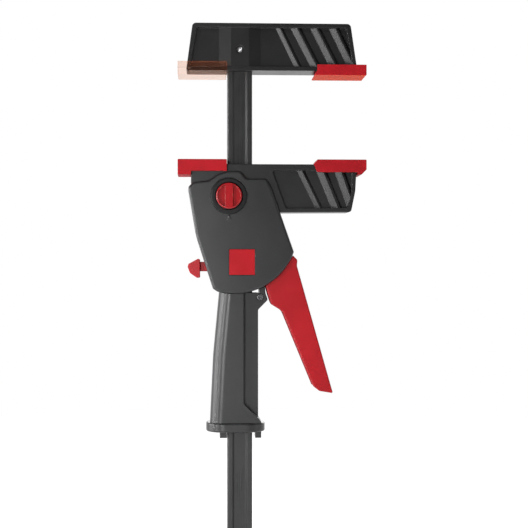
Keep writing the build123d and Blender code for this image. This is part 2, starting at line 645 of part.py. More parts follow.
def make_front_cover(tray):
    """Front cover with screw bosses, selector seat, badge seat and pointer."""
    bosses = screw_bosses(SCREW_BOSS, -FRAME_HALF_DEPTH - SHELL_GAP,
                          SCREW_BOSS_DEPTH - FRAME_HALF_DEPTH - SHELL_GAP)
    cover = tray + bosses
    cover -= screw_bosses(SCREW_RADIUS, SCREW_TIP_Y, 0)
    cover -= rod((KNOB_X, KNOB_Z), KNOB_SHAFT + PIVOT_GAP, -COVER_FACE, 0)
    cover -= pivot_stub(-1)
    cover -= slab(badge_face(), -COVER_FACE, BADGE_THICKNESS - BADGE_PROUD - COVER_FACE)
    half = TICK_SIZE / 2
    tick = Polygon((KNOB_X - half, TICK_Z - half), (KNOB_X + half, TICK_Z - half),
                   (KNOB_X, TICK_Z + half), align=None)
    return cover + slab(tick, -COVER_FACE - TICK_PROUD, TICK_PROUD - COVER_FACE)


def make_back_cover(tray):
    """Back cover with countersunk screw holes."""
    cover = mirror(tray, Plane.XZ)
    cover -= screw_bosses(SCREW_RADIUS + SHELL_GAP, 0, COVER_FACE)
    cover -= screw_bosses(SCREW_HEAD, COVER_FACE - SCREW_HEAD_DEPTH, COVER_FACE)
    return cover - pivot_stub(1)


def make_cover_screws():
    """Pan screws put in from the back."""
    heads = screw_bosses(SCREW_HEAD - SHELL_GAP, COVER_FACE - SCREW_HEAD_DEPTH,
                         COVER_FACE - SCREW_HEAD_SINK)
    return heads + screw_bosses(SCREW_RADIUS, SCREW_TIP_Y, COVER_FACE - SCREW_HEAD_DEPTH)


def badge_face():
    """Front view of the badge and of its seat."""
    return Pos(BADGE_X, BADGE_Z) * RectangleRounded(BADGE_SIZE, BADGE_SIZE, BADGE_CORNER)


def make_badge():
    """Plain inlay let into the front cover."""
    back = BADGE_THICKNESS - BADGE_PROUD - COVER_FACE
    return slab(badge_face(), -COVER_FACE - BADGE_PROUD, back)


# ================================================================= selector
def make_bezel():
    """Raised ring round the selector knob."""
    ring = disc((KNOB_X, KNOB_Z), BEZEL_RADIUS) - disc((KNOB_X, KNOB_Z), KNOB_RADIUS + MOVE_GAP)
    bezel = slab(ring, -COVER_FACE - BEZEL_HEIGHT, -COVER_FACE)
    rims = bezel.faces().sort_by(Axis.Y)[0].edges()
    return chamfer(rims, BEZEL_HEIGHT / 2)


def make_knob():
    """Round knob with a gripping ridge, its shaft and the eccentric cam pin."""
    centre = (KNOB_X, KNOB_Z)
    knob = rod(centre, KNOB_RADIUS, -COVER_FACE - KNOB_HEIGHT, -COVER_FACE)
    knob = fillet(knob.faces().sort_by(Axis.Y)[0].edges(), KNOB_EDGE)
    ridge = Pos(*centre) * Rectangle(KNOB_RIDGE, 2 * KNOB_RADIUS)
    moons = disc(centre, KNOB_RADIUS - KNOB_RIM) - ridge
    knob -= slab(moons, -COVER_FACE - KNOB_HEIGHT, KNOB_DISH - COVER_FACE - KNOB_HEIGHT)
    knob += rod(centre, KNOB_SHAFT, -COVER_FACE, -CAVITY_HALF_DEPTH)
    cam = (KNOB_X + CAM_THROW, KNOB_Z)
    return knob + rod(cam, CAM_PIN_RADIUS, -CAVITY_HALF_DEPTH, -BAR_HALF_DEPTH - 2 * SLIDE_GAP)


# ==================================================================== lever
def lever_neck():
    """The lever's corners beside the right end of its arc; the last one starts its back."""
    return shifted(about_pivot(LEVER_HEAD_DEG, LEVER_ARC), (0, 0), (3.2, -3.3), (2.8, -7.7))


def lever_face():
    """Front view of the hand lever below the housing."""
    foot = about_pivot(LEVER_FOOT_DEG, LEVER_ARC)
    middle = about_pivot((LEVER_FOOT_DEG + LEVER_HEAD_DEG) / 2, LEVER_ARC)
    neck = lever_neck()
    arc = ThreePointArc(foot, middle, neck[0])
    tip = shifted(LEVER_TIP, (0, 0), (-10.2, 1.7), (-14.7, 5.1))
    knuckle = shifted(foot, (12.4, -18.7), (4.2, -13.7), (1.8, -6.7), (0, 0))
    side = FilletPolyline(*neck, *tip, *knuckle,
                          radius=[1.8, 4.0, 0.8, 4.0, 2.5, 7.0, 5.0, 12.0])
    return make_face(arc.edges() + side.edges())


def lever_channel():
    """The hollow of the lever: everything left of its web and above its end wall."""
    back = Vector(*lever_neck()[-1])
    run = (Vector(*LEVER_TIP) - back).normalized()
    inner = back + Vector(run.Y, -run.X) * LEVER_WEB
    end_z = LEVER_TIP[1] + LEVER_END_WALL
    upper = inner - run * CHANNEL_RISE
    lower = inner + run * ((end_z - back.Y) / run.Y)
    return Polygon((upper.X, upper.Y), (lower.X, end_z), (lower.X - CHANNEL_REACH, end_z),
                   (upper.X - CHANNEL_REACH, upper.Y), align=None)


def lobe(nose):
    """The arm of a cheek between the pivot and one nose."""
    edges = [*disc((PIVOT_X, PIVOT_Z), PIVOT_BOSS).edges(), *disc(nose, NOSE_BOSS).edges()]
    return make_hull(edges)


def make_lever(noses):
    """Channel-shaped hand lever whose two cheeks run up beside the bar."""
    handle = slab(lever_face(), -LEVER_HALF_DEPTH, LEVER_HALF_DEPTH)
    faces = handle.faces().sort_by(Axis.Y)
    rims = (faces[0].edges() + faces[-1].edges()).filter_by(
        lambda edge: (Vector(edge.center().X, edge.center().Z)
                      - Vector(PIVOT_X, PIVOT_Z)).length > LEVER_ARC + 2)
    handle = fillet(rims, LEVER_EDGE)
    handle -= slab(lever_channel(), -CHEEK_INNER, CHEEK_INNER)
    cheek = sector(LEVER_WEDGE_START, LEVER_WEDGE_END, LEVER_ARC + CHEEK_ROOT)
    cheek += lobe(CLAMP_NOSE) + lobe(SPREAD_NOSE)
    lever = handle + both_sides(cheek, CHEEK_INNER, LEVER_HALF_DEPTH)
    lever -= both_sides(disc((PIVOT_X, PIVOT_Z), PIVOT_RADIUS + PIVOT_GAP), 0, COVER_FACE)
    return lever - noses


def make_noses():
    """Two cross pins that push the drive plates."""
    return rod(CLAMP_NOSE, NOSE_RADIUS, -LEVER_HALF_DEPTH, LEVER_HALF_DEPTH) + \
        rod(SPREAD_NOSE, NOSE_RADIUS, -LEVER_HALF_DEPTH, LEVER_HALF_DEPTH)


# ================================================================= mechanism
def make_drive_plate(z_low):
    """Jam plate that one of the lever's noses drives along the bar."""
    z_high = z_low + PLATE_THICKNESS
    plate = block(PLATE_LEFT, PLATE_RIGHT, -PLATE_HALF_DEPTH, PLATE_HALF_DEPTH, z_low, z_high)
    plate = fillet(plate.edges().filter_by(Axis.Z), PLATE_CORNER)
    return plate - bar_envelope(SLIDE_GAP, z_low, z_high)


def make_hinged_plate(x_left, x_hinge, z_low):
    """Jam plate with a rounded heel at its right end."""
    half = PLATE_HALF_DEPTH
    radius = PLATE_THICKNESS / 2
    z_high = z_low + PLATE_THICKNESS
    plate = block(x_left, x_hinge, -half, half, z_low, z_high)
    plate += rod((x_hinge, z_low + radius), radius, -half, half)
    return plate - bar_envelope(BRAKE_HOLE_GAP, z_low, z_high)


def make_clamp_brake():
    """Jam plate that holds the clamped load; its tongue carries the release button."""
    plate = make_hinged_plate(STEM_INNER_X, BRAKE_HINGE_X, BRAKE_PLATE_Z)
    return plate + block(BUTTON_INNER_X + 2, STEM_INNER_X, -TONGUE_HALF_DEPTH, TONGUE_HALF_DEPTH,
                         BRAKE_PLATE_Z, BRAKE_PLATE_Z + PLATE_THICKNESS)


def make_button(brake):
    """Thumb piece on the brake plate: serrated top, rounded tail."""
    inner = (BUTTON_INNER_X, BRAKE_MIDDLE_Z)
    outer = (BUTTON_OUTER_X, BRAKE_MIDDLE_Z)
    head = outline([*shifted(inner, (0, -8.3), (0, 5.3), (-1.6, 5.9)),
                    *shifted(outer, (0.6, 2.0), (0, -0.3), (1.8, -4.9)),
                    *shifted(inner, (-2.4, -8.5))], [0.6, 0.8, 1.2, 0.8, 1.5, 4.0, 0.8])
    button = slab(head, -BUTTON_HALF_DEPTH, BUTTON_HALF_DEPTH)
    faces = button.faces().sort_by(Axis.Y)
    button = chamfer(faces[0].edges() + faces[-1].edges(), BUTTON_EDGE)
    first = Vector(*shifted(inner, (-2.8, 5.7))[0])
    last = Vector(*shifted(outer, (1.6, 3.1))[0])
    for step in range(SERRATIONS):
        place = first + (last - first) * (step / (SERRATIONS - 1))
        button -= rod((place.X, place.Y), SERRATION_RADIUS, -BUTTON_HALF_DEPTH, BUTTON_HALF_DEPTH)
    button += block(BUTTON_INNER_X - 1, STEM_INNER_X, -STEM_HALF_DEPTH, STEM_HALF_DEPTH,
                    BRAKE_MIDDLE_Z - STEM_HALF_HEIGHT, BRAKE_MIDDLE_Z + STEM_HALF_HEIGHT)
    return button - brake


def make_spring(x, z_low, z_high, turns):
    """Compression spring beside the bar."""
    height = z_high - z_low - 2 * SPRING_WIRE
    path = Helix(height / turns, height, SPRING_RADIUS - SPRING_WIRE)
    section = Plane(path @ 0, z_dir=path % 0) * Circle(SPRING_WIRE)
    coil = sweep(section, path=path, is_frenet=True)
    return Pos(x, 0, z_low + SPRING_WIRE) * coil


# ===================================================================== grip
def make_lug():
    """The tongue below the frame that the grip is screwed to."""
    corners = shifted((EAR_X, EAR_Z), (-0.9, 13.4), (3.0, 13.4), (4.6, -1.8), (-1.4, -7.8),
                      (-4.8, -4.6), (-4.8, 2.4), (-0.9, 2.4))
    face = outline(corners, [0.3, 0.3, 1.0, 1.0, 1.0, 0.5, 0.3])
    return slab(face, -LUG_HALF_DEPTH, LUG_HALF_DEPTH)


def make_grip(lug, housing):
    """The whole grip, before it is split into its two shells."""
    body = outline([(GRIP_TOP_LEFT, GRIP_TOP + 2), (GRIP_STEP_X, GRIP_TOP + 2),
                    (GRIP_STEP_X, FLARE_TOP), (COLLAR_RIGHT - 4.8, GRIP_BOTTOM + 3.6),
                    (COLLAR_RIGHT - 2.6, GRIP_BOTTOM), (GRIP_BOTTOM_LEFT, GRIP_BOTTOM),
                    (GRIP_WAIST_LEFT, GRIP_WAIST_Z)],
                   [0, 0, FLARE_RADIUS, 1.5, 0, 0, GRIP_WAIST_RADIUS])
    grip = slab(body, -GRIP_HALF_DEPTH, GRIP_HALF_DEPTH)
    flank = grip.edges().filter_by(lambda edge: edge.center().X < GRIP_TOP_LEFT + 0.5
                                   and abs(abs(edge.center().Y) - GRIP_HALF_DEPTH) < 0.1
                                   and abs(edge.tangent_at(0.5).Z) > 0.9)
    grip = fillet(flank, GRIP_EDGE)
    spine = outline([(GRIP_STEP_X - 2, GRIP_TOP), (EAR_GAP_RIGHT, GRIP_TOP),
                     (EAR_GAP_RIGHT, GRIP_TOP + 2.8),
                     *shifted((EAR_X, EAR_Z), (2.4, 7.6), (5.6, -2.1)),
                     (GRIP_RIGHT, EAR_Z - 9.5), (GRIP_RIGHT, GRIP_BOTTOM),
                     (GRIP_STEP_X - 2, GRIP_BOTTOM)], [0, 0.2, 0.4, 1.2, 1.6, 2.0, 0, 0])
    grip += slab(spine, -SPINE_HALF_DEPTH, SPINE_HALF_DEPTH)
    hollow = Polygon((GRIP_BOTTOM_LEFT + GRIP_WALL, GRIP_BOTTOM), (GRIP_STEP_X, GRIP_BOTTOM),
                     (GRIP_STEP_X - GRIP_WALL, FLARE_TOP),
                     (GRIP_STEP_X - GRIP_WALL, GRIP_TOP - GRIP_WALL),
                     (GRIP_TOP_LEFT + GRIP_WALL, GRIP_TOP - GRIP_WALL),
                     (GRIP_WAIST_LEFT + GRIP_WALL, GRIP_WAIST_Z), align=None)
    inner = slab(hollow, GRIP_WALL - GRIP_HALF_DEPTH, GRIP_HALF_DEPTH - GRIP_WALL)
    inner = fillet(inner.edges().filter_by(lambda edge: edge.center().X < GRIP_TOP_LEFT + GRIP_WALL
                                           and abs(edge.tangent_at(0.5).Z) > 0.9),
                   GRIP_EDGE - GRIP_WALL)
    grip -= inner
    reach = SPINE_HALF_DEPTH - GRIP_WALL
    grip -= block(GRIP_STEP_X - GRIP_WALL, GRIP_RIGHT - GRIP_WALL, -reach, reach,
                  GRIP_BOTTOM, GRIP_TOP - 4 * GRIP_WALL)
    grip -= bar_envelope(SLIDE_GAP, COLLAR_BOTTOM, PIVOT_Z)
    grip -= slab(housing, -COVER_FACE, COVER_FACE)
    grip -= lug
    grip -= rod((EAR_X, EAR_Z), GRIP_SCREW_RADIUS, -COVER_FACE, COVER_FACE)
    head_y = SPINE_HALF_DEPTH - GRIP_SCREW_HEAD_DEPTH
    return grip - rod((EAR_X, EAR_Z), GRIP_SCREW_HEAD + SHELL_GAP, -SPINE_HALF_DEPTH, -head_y)


def make_grip_screw():
    """Screw through the ears of both shells and the frame's lug."""
    head_y = SPINE_HALF_DEPTH - GRIP_SCREW_HEAD_DEPTH
    head = rod((EAR_X, EAR_Z), GRIP_SCREW_HEAD, -SPINE_HALF_DEPTH, -head_y)
    return head + rod((EAR_X, EAR_Z), GRIP_SCREW_RADIUS, -head_y, SPINE_HALF_DEPTH - 1)


def split_grip(grip, side):
    """The half of the grip in front of (-1) or behind (+1) the bar."""
    y_low, y_high = sorted((0, side * COVER_FACE))
    return grip & block(LEFT_X, JAW_REACH, y_low, y_high, COLLAR_BOTTOM, ARM_TOP)


def make_collar():
    """Flanged end of the grip: a guide plate, two feet and a spigot inside the shells."""
    face = Pos((COLLAR_LEFT + COLLAR_RIGHT) / 2, 0) * RectangleRounded(
        COLLAR_RIGHT - COLLAR_LEFT, 2 * COLLAR_HALF_DEPTH, COLLAR_CORNER)
    collar = Pos(0, 0, COLLAR_BOTTOM) * extrude(face, COLLAR_THICKNESS)
    rims = collar.faces().sort_by(Axis.Z)
    collar = fillet(rims[0].edges() + rims[-1].edges(), COLLAR_EDGE)
    feet = ((-BAR_HALF_WIDTH - LEFT_FOOT_REACH, -BAR_HALF_WIDTH - SLIDE_GAP),
            (BAR_HALF_WIDTH + RIGHT_FOOT_GAP, BAR_HALF_WIDTH + RIGHT_FOOT_REACH))
    for x_low, x_high in feet:
        collar += block(x_low, x_high, -FOOT_HALF_DEPTH, FOOT_HALF_DEPTH,
                        COLLAR_BOTTOM - FOOT_HEIGHT, COLLAR_BOTTOM + COLLAR_EDGE)
    left = GRIP_BOTTOM_LEFT + GRIP_WALL + SPIGOT_DRAFT
    half = GRIP_HALF_DEPTH - GRIP_WALL - SHELL_GAP
    spigot = block(left, 0, -half, half, GRIP_BOTTOM - 1, GRIP_BOTTOM + SPIGOT_HEIGHT)
    spigot = fillet(spigot.edges().filter_by(Axis.Z).sort_by(Axis.X)[:2], GRIP_EDGE - GRIP_WALL)
    spigot -= block(left + SPIGOT_WALL, 1, SPIGOT_WALL - half, half - SPIGOT_WALL,
                    GRIP_BOTTOM, GRIP_BOTTOM + SPIGOT_HEIGHT)
    return collar + spigot - bar_envelope(SLIDE_GAP, COLLAR_BOTTOM - FOOT_HEIGHT, GRIP_TOP)


# ================================================================== assembly
def main():
    """Build every node in the part's own frame and write it."""
    os.makedirs("parts", exist_ok=True)

    bar = make_bar()
    fixed_jaw = make_fixed_jaw()
    save(bar, "bar")
    save(make_end_cap(bar), "bar_end_cap")
    save(make_stop_pin(), "bar_stop_pin")
    save(fixed_jaw, "fixed_jaw")
    save(make_jaw_pin(), "fixed_jaw_pin")

    fixed_body = slab(fixed_jaw_face(0, 0, 0, JAW_CORNER), -JAW_HALF_DEPTH, JAW_HALF_DEPTH)
    arms = arms_shape()
    for name, corners in pad_outlines().items():
        fixed = name.startswith("fixed")
        save(make_pad(corners, -1 if fixed else 1, fixed_body if fixed else arms), name)

    housing = housing_outline()
    frame_face = offset(housing, amount=-FRAME_INSET)
    lug = make_lug()
    guide_levels = [(ARM_TOP - UPPER_GUIDE_HEIGHT, ARM_TOP),
                    (FLOOR_Z - LOWER_GUIDE_HEIGHT, FLOOR_Z)]
    seats = [guide_seat(*levels) for levels in guide_levels]
    sliding_jaw = make_sliding_jaw(frame_face, lug, seats)
    save(sliding_jaw, "sliding_jaw")
    save(make_guide(*guide_levels[0]), "upper_bar_guide")
    save(make_guide(*guide_levels[1]), "lower_bar_guide")

    tray = make_tray(housing)
    save(make_front_cover(tray), "front_cover")
    save(make_back_cover(tray), "back_cover")
    save(make_cover_screws(), "cover_screws")
    save(make_badge(), "badge_inlay")
    save(make_bezel(), "selector_bezel")
    save(make_knob(), "selector_knob")

    noses = make_noses()
    save(noses, "lever_noses")
    save(make_lever(noses), "lever")
    save(pivot_stub(-1) + pivot_stub(1), "lever_pivots")

    save(make_drive_plate(CLAMP_PLATE_TOP - PLATE_THICKNESS), "clamp_drive_plate")
    save(make_spring(CLAMP_SPRING_X, SHELF_TOP, CLAMP_PLATE_TOP - PLATE_THICKNESS, 4),
         "clamp_drive_spring")
    save(make_drive_plate(SPREAD_PLATE_BOTTOM), "spread_drive_plate")
    save(make_spring(SPREAD_SPRING_X, SPREAD_PLATE_BOTTOM + PLATE_THICKNESS, WEB_Z, 3),
         "spread_drive_spring")

    clamp_brake = make_clamp_brake()
    save(clamp_brake, "clamp_brake_plate")
    save(make_button(clamp_brake), "release_button")
    save(make_spring(BRAKE_SPRING_X, FLOOR_Z, BRAKE_PLATE_Z, 2), "clamp_brake_spring")
    save(make_hinged_plate(SPREAD_BRAKE_LEFT, SPREAD_HINGE_X, SPREAD_BRAKE_BOTTOM),
         "spread_brake_plate")
    save(make_spring(SPREAD_SPRING_X, SPREAD_BRAKE_BOTTOM + PLATE_THICKNESS, SPRING_POCKET_TOP, 2),
         "spread_brake_spring")

    grip = make_grip(lug, housing)
    save(split_grip(grip, -1), "grip_front_shell")
    save(split_grip(grip, 1), "grip_back_shell")
    save(make_grip_screw(), "grip_screw")
    save(make_collar(), "grip_collar")


if __name__ == "__main__":
    main()
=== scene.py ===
"""Looks of a one-handed bar clamp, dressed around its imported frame."""
import logging
import math
from dataclasses import dataclass
from enum import Enum
from typing import Any, Callable, Iterable, Optional, Union

import bpy
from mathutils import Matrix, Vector


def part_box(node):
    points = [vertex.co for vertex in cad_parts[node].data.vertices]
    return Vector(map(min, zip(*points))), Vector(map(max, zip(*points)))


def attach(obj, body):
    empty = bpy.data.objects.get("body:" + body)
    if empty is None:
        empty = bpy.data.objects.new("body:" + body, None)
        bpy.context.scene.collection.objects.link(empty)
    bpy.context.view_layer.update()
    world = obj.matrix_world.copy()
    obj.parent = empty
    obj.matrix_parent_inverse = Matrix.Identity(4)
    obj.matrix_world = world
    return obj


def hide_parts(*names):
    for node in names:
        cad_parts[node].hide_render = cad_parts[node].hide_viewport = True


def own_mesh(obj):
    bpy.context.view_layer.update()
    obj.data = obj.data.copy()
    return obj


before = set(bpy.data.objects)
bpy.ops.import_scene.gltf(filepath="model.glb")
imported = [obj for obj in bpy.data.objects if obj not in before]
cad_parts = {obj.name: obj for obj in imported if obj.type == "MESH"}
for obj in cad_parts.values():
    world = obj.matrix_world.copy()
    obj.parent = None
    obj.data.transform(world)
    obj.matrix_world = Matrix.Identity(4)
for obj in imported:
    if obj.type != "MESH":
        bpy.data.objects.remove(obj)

LOG = logging.getLogger("bar_clamp")
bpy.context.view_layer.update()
MM = 0.001
FULL_TURN = 2 * math.pi
QUARTER_TURN = math.pi / 2
FACES_IT = 0.9

Colour = tuple[float, float, float]
Point = tuple[float, float, float]
Range = tuple[float, float]


def scaled(colour: Colour, share: float) -> Colour:
    """A colour made darker or lighter by a share."""
    return tuple(channel * share for channel in colour)


def metres(place: Point) -> Point:
    """A place given in millimetres, in metres."""
    return tuple(value * MM for value in place)


# ------------------------------------------------------------------ shader maths
@dataclass(frozen=True)
class Signal:
    """One number or colour that flows through a shader, with arithmetic on it."""

    graph: "Graph"
    socket: bpy.types.NodeSocket

    def _math(self, operation: str, first: Any, second: Any) -> "Signal":
        """Add one Math node.

        Args:
            operation: the node's operation.
            first: the left operand.
            second: the right operand.

        Returns:
            The node's result.
        """
        return self.graph.node("ShaderNodeMath", {"operation": operation}, {0: first, 1: second})

    def __add__(self, other: Any) -> "Signal":
        """This plus other."""
        return self._math("ADD", self, other)

    def __radd__(self, other: Any) -> "Signal":
        """Other plus this."""
        return self._math("ADD", other, self)

    def __sub__(self, other: Any) -> "Signal":
        """This minus other."""
        return self._math("SUBTRACT", self, other)

    def __rsub__(self, other: Any) -> "Signal":
        """Other minus this."""
        return self._math("SUBTRACT", other, self)

    def __mul__(self, other: Any) -> "Signal":
        """This times other."""
        return self._math("MULTIPLY", self, other)

    def __rmul__(self, other: Any) -> "Signal":
        """Other times this."""
        return self._math("MULTIPLY", other, self)

    def larger(self, other: Any) -> "Signal":
        """The larger of this and other."""
        return self._math("MAXIMUM", self, other)

    def sway(self, amount: float) -> "Signal":
        """This noise, centred on zero and scaled to swing by an amount."""
        return (self - 0.5) * amount

    def between(self, low: float, high: float) -> "Signal":
        """This, rescaled smoothly so that low gives 0 and high gives 1.

        Args:
            low: the value that becomes 0.
            high: the value that becomes 1.

        Returns:
            The rescaled value.
        """
        settings = {"interpolation_type": "SMOOTHSTEP"}
        return self.graph.node("ShaderNodeMapRange", settings,
                               {"Value": self, "From Min": low, "From Max": high})


@dataclass(frozen=True)
class Grain:
    """A soft random pattern.

    size_mm is the size of one grain, detail how many finer layers it has, stretch how much
    longer the grains are along X, Y and Z, and reach the values that a mask of it runs between.
    """

    size_mm: float
    detail: float = 3.0
    stretch: Point = (1.0, 1.0, 1.0)
    reach: Range = (0.3, 0.7)


class Graph:
    """The node tree of one material or world."""

    EDGE_REACH: Range = (0.01, 0.22)
    UPRIGHT_REACH: Range = (0.8, 0.95)
    BEVEL_SAMPLES = 6

    def __init__(self, name: str, world: Optional[bpy.types.World] = None) -> None:
        """Start an empty tree.

        Args:
            name: the material's name.
            world: the world to light, where this isn't a material.
        """
        self.owner = world or bpy.data.materials.new(name)
        self.owner.use_nodes = True
        self.tree = self.owner.node_tree
        self.tree.nodes.clear()
        self.output = self.tree.nodes.new(f"ShaderNodeOutput{'World' if world else 'Material'}")
        self.place = self.node("ShaderNodeTexCoord", output="Object")

    def node(self, kind: str, settings: Optional[dict[str, Any]] = None,
             inputs: Optional[dict[Any, Any]] = None, output: Union[int, str] = 0) -> Signal:
        """Add one node of any kind.

        Args:
            kind: the node's type name.
            settings: its own settings, which are set first.
            inputs: what each socket, by name or number, is linked or set to.
            output: which output is returned.

        Returns:
            The chosen output.
        """
        made = self.tree.nodes.new(kind)
        for key, value in (settings or {}).items():
            setattr(made, key, value)
        for key, value in (inputs or {}).items():
            self.feed(made.inputs[key], value)
        return Signal(self, made.outputs[output])

    def feed(self, socket: bpy.types.NodeSocket, value: Any) -> None:
        """Link a signal into a socket, or set the socket to a number or colour.

        Args:
            socket: the socket.
            value: a signal, a number, a vector or a colour.
        """
        if isinstance(value, Signal):
            self.tree.links.new(value.socket, socket)
        elif isinstance(value, tuple) and socket.type == "RGBA":
            socket.default_value = (*value, 1.0)
        else:
            socket.default_value = value

    def noise(self, grain: Grain) -> Signal:
        """A random pattern around one half.

        Args:
            grain: its size and stretch.

        Returns:
            The pattern.
        """
        squeeze = tuple(1.0 / (grain.size_mm * MM * s) for s in grain.stretch)
        place = self.node("ShaderNodeMapping", inputs={"Vector": self.place, "Scale": squeeze})
        return self.node("ShaderNodeTexNoise", {"noise_dimensions": "3D"},
                         {"Vector": place, "Scale": 1.0, "Detail": grain.detail}, "Fac")

    def patches(self, grain: Grain) -> Signal:
        """A mask of soft patches, from 0 to 1."""
        return self.noise(grain).between(*grain.reach)

    def blend(self, factor: Any, low: Any, high: Any) -> Signal:
        """A colour between two colours.

        Args:
            factor: 0 gives low and 1 gives high.
            low: the first colour.
            high: the second colour.

        Returns:
            The mixed colour.
        """
        return self.node("ShaderNodeMix", {"data_type": "RGBA"}, {0: factor, 6: low, 7: high}, 2)

    def rounded(self, radius_mm: float) -> Signal:
        """The surface normal with every sharp edge eased to a small radius."""
        return self.node("ShaderNodeBevel", {"samples": self.BEVEL_SAMPLES},
                         {"Radius": radius_mm * MM})

    def dot_with_face(self, direction: Any) -> Signal:
        """How far a direction agrees with the way that a face looks, from -1 to 1."""
        flat = self.node("ShaderNodeNewGeometry", output="Normal")
        return self.node("ShaderNodeVectorMath", {"operation": "DOT_PRODUCT"},
                         {0: direction, 1: flat}, "Value")

    def upright(self, way: float) -> Signal:
        """A mask that is 1 on faces that look straight up or straight down.

        Args:
            way: +1 for up and -1 for down.

        Returns:
            The mask.
        """
        return self.dot_with_face((0.0, 0.0, way)).between(*self.UPRIGHT_REACH)

    def edges(self, radius_mm: float) -> Signal:
        """A mask that is 1 along edges and 0 on open faces.

        Args:
            radius_mm: how far from an edge the mask reaches.

        Returns:
            The mask.
        """
        return (1.0 - self.dot_with_face(self.rounded(radius_mm))).between(*self.EDGE_REACH)

    def bump(self, height: Signal, depth_mm: float, strength: float, normal: Signal) -> Signal:
        """A bumped normal.

        Args:
            height: the pattern, 0 to 1.
            depth_mm: how deep the pattern is, in millimetres.
            strength: how much of it shows.
            normal: the normal that it starts from.

        Returns:
            The bumped normal.
        """
        return self.node("ShaderNodeBump", inputs={"Height": height, "Distance": depth_mm * MM,
                                                   "Strength": strength, "Normal": normal})

    def principled(self, **sockets: Any) -> Signal:
        """Add a principled shader.

        Args:
            sockets: the shader's sockets, with underscores for spaces.

        Returns:
            The shader.
        """
        inputs = {name.replace("_", " "): value for name, value in sockets.items()}
        return self.node("ShaderNodeBsdfPrincipled", inputs=inputs)

    def close(self, shader: Signal) -> bpy.types.ID:
        """Link the last shader to the output.

        Args:
            shader: what the material or world shows.

        Returns:
            The finished material or world.
        """
        self.tree.links.new(shader.socket, self.output.inputs["Surface"])
        return self.owner


# ---------------------------------------------------------------------- finishes
@dataclass(frozen=True)
class Moulding:
    """Satin moulded plastic: fine spark-eroded skin, scuffed paler a little along its edges; on
    the knob that paler edge is a painted highlight.
    """

    name: str
    colour: Colour
    # the paler colour along edges: scuffing, and on the knob a painted highlight
    worn_and_highlight: Colour
    roughness: float = 0.45
    grain_mm: float = 0.35
    depth_mm: float = 0.02
    edge_mm: float = 0.45
    wear_and_highlight: float = 0.5
    shine: float = 0.45
    skin_detail: float = 4.0
    cloud: Grain = Grain(28.0, 2.0)
    patch: Grain = Grain(2.6, reach=(0.42, 0.72))
    shade: float = 0.86
    cloud_rough: float = 0.10
    skin_rough: float = 0.12
    rubbed_smooth: float = 0.12
    bump: float = 0.6

    def build(self) -> bpy.types.Material:
        """Build the material."""
        g = Graph(self.name)
        skin = g.noise(Grain(self.grain_mm, self.skin_detail))
        cloud = g.noise(self.cloud)
        # paler edges in patches: scuffing, and on the knob a painted highlight
        rubbed_and_highlight = g.edges(self.edge_mm) * g.patches(self.patch) * self.wear_and_highlight
        colour = g.blend(cloud.between(*self.cloud.reach), scaled(self.colour, self.shade),
                         self.colour)
        colour = g.blend(rubbed_and_highlight, colour, self.worn_and_highlight)
        rough = (self.roughness + cloud.sway(self.cloud_rough) + skin.sway(self.skin_rough)
                 - rubbed_and_highlight * self.rubbed_smooth)
        normal = g.bump(skin, self.depth_mm, self.bump, g.rounded(self.edge_mm))
        return g.close(g.principled(Base_Color=colour, Roughness=rough, Normal=normal,
                                    Specular_IOR_Level=self.shine))


@dataclass(frozen=True)
class DrawnBar:
    """Blackened drawn steel: lines along its length, thinly scuffed corners."""

    name: str = "bar_black_oxide"
    colour: Colour = (0.018, 0.018, 0.0185)
    bare: Colour = (0.16, 0.16, 0.165)
    lighter: float = 1.5
    roughness: float = 0.30
    shine: float = 0.4
    line: Grain = Grain(0.22, 2.0, (1.0, 1.0, 260.0))
    cloud: Grain = Grain(16.0, 3.0, (1.0, 1.0, 3.0), (0.35, 0.7))
    scuff: Grain = Grain(0.7, 2.0, (1.0, 1.0, 14.0), (0.66, 0.78))
    patch: Grain = Grain(1.8, 3.0, (1.0, 1.0, 5.0), (0.45, 0.75))
    wear_mm: float = 0.6
    wear_and_highlight: float = 0.45
    scuffed: float = 0.06
    line_rough: float = 0.14
    cloud_rough: float = 0.12
    scuff_rough: float = 0.08
    corner_mm: float = 1.1
    depth_mm: float = 0.006
    bump: float = 0.5
    bare_metal: float = 0.8

    def build(self) -> bpy.types.Material:
        """Build the material."""
        g = Graph(self.name)
        lines = g.noise(self.line)
        cloud = g.noise(self.cloud)
        scuffs = g.patches(self.scuff)
        rubbed_and_highlight = g.edges(self.wear_mm) * g.patches(self.patch) * self.wear_and_highlight
        colour = g.blend(cloud.between(*self.cloud.reach), self.colour,
                         scaled(self.colour, self.lighter))
        colour = g.blend(rubbed_and_highlight + scuffs * self.scuffed, colour, self.bare)
        rough = (self.roughness + lines.sway(self.line_rough) + cloud.sway(self.cloud_rough)
                 + scuffs * self.scuff_rough)
        normal = g.bump(lines, self.depth_mm, self.bump, g.rounded(self.corner_mm))
        return g.close(g.principled(Base_Color=colour, Roughness=rough, Normal=normal,
                                    Metallic=rubbed_and_highlight * self.bare_metal,
                                    Specular_IOR_Level=self.shine))


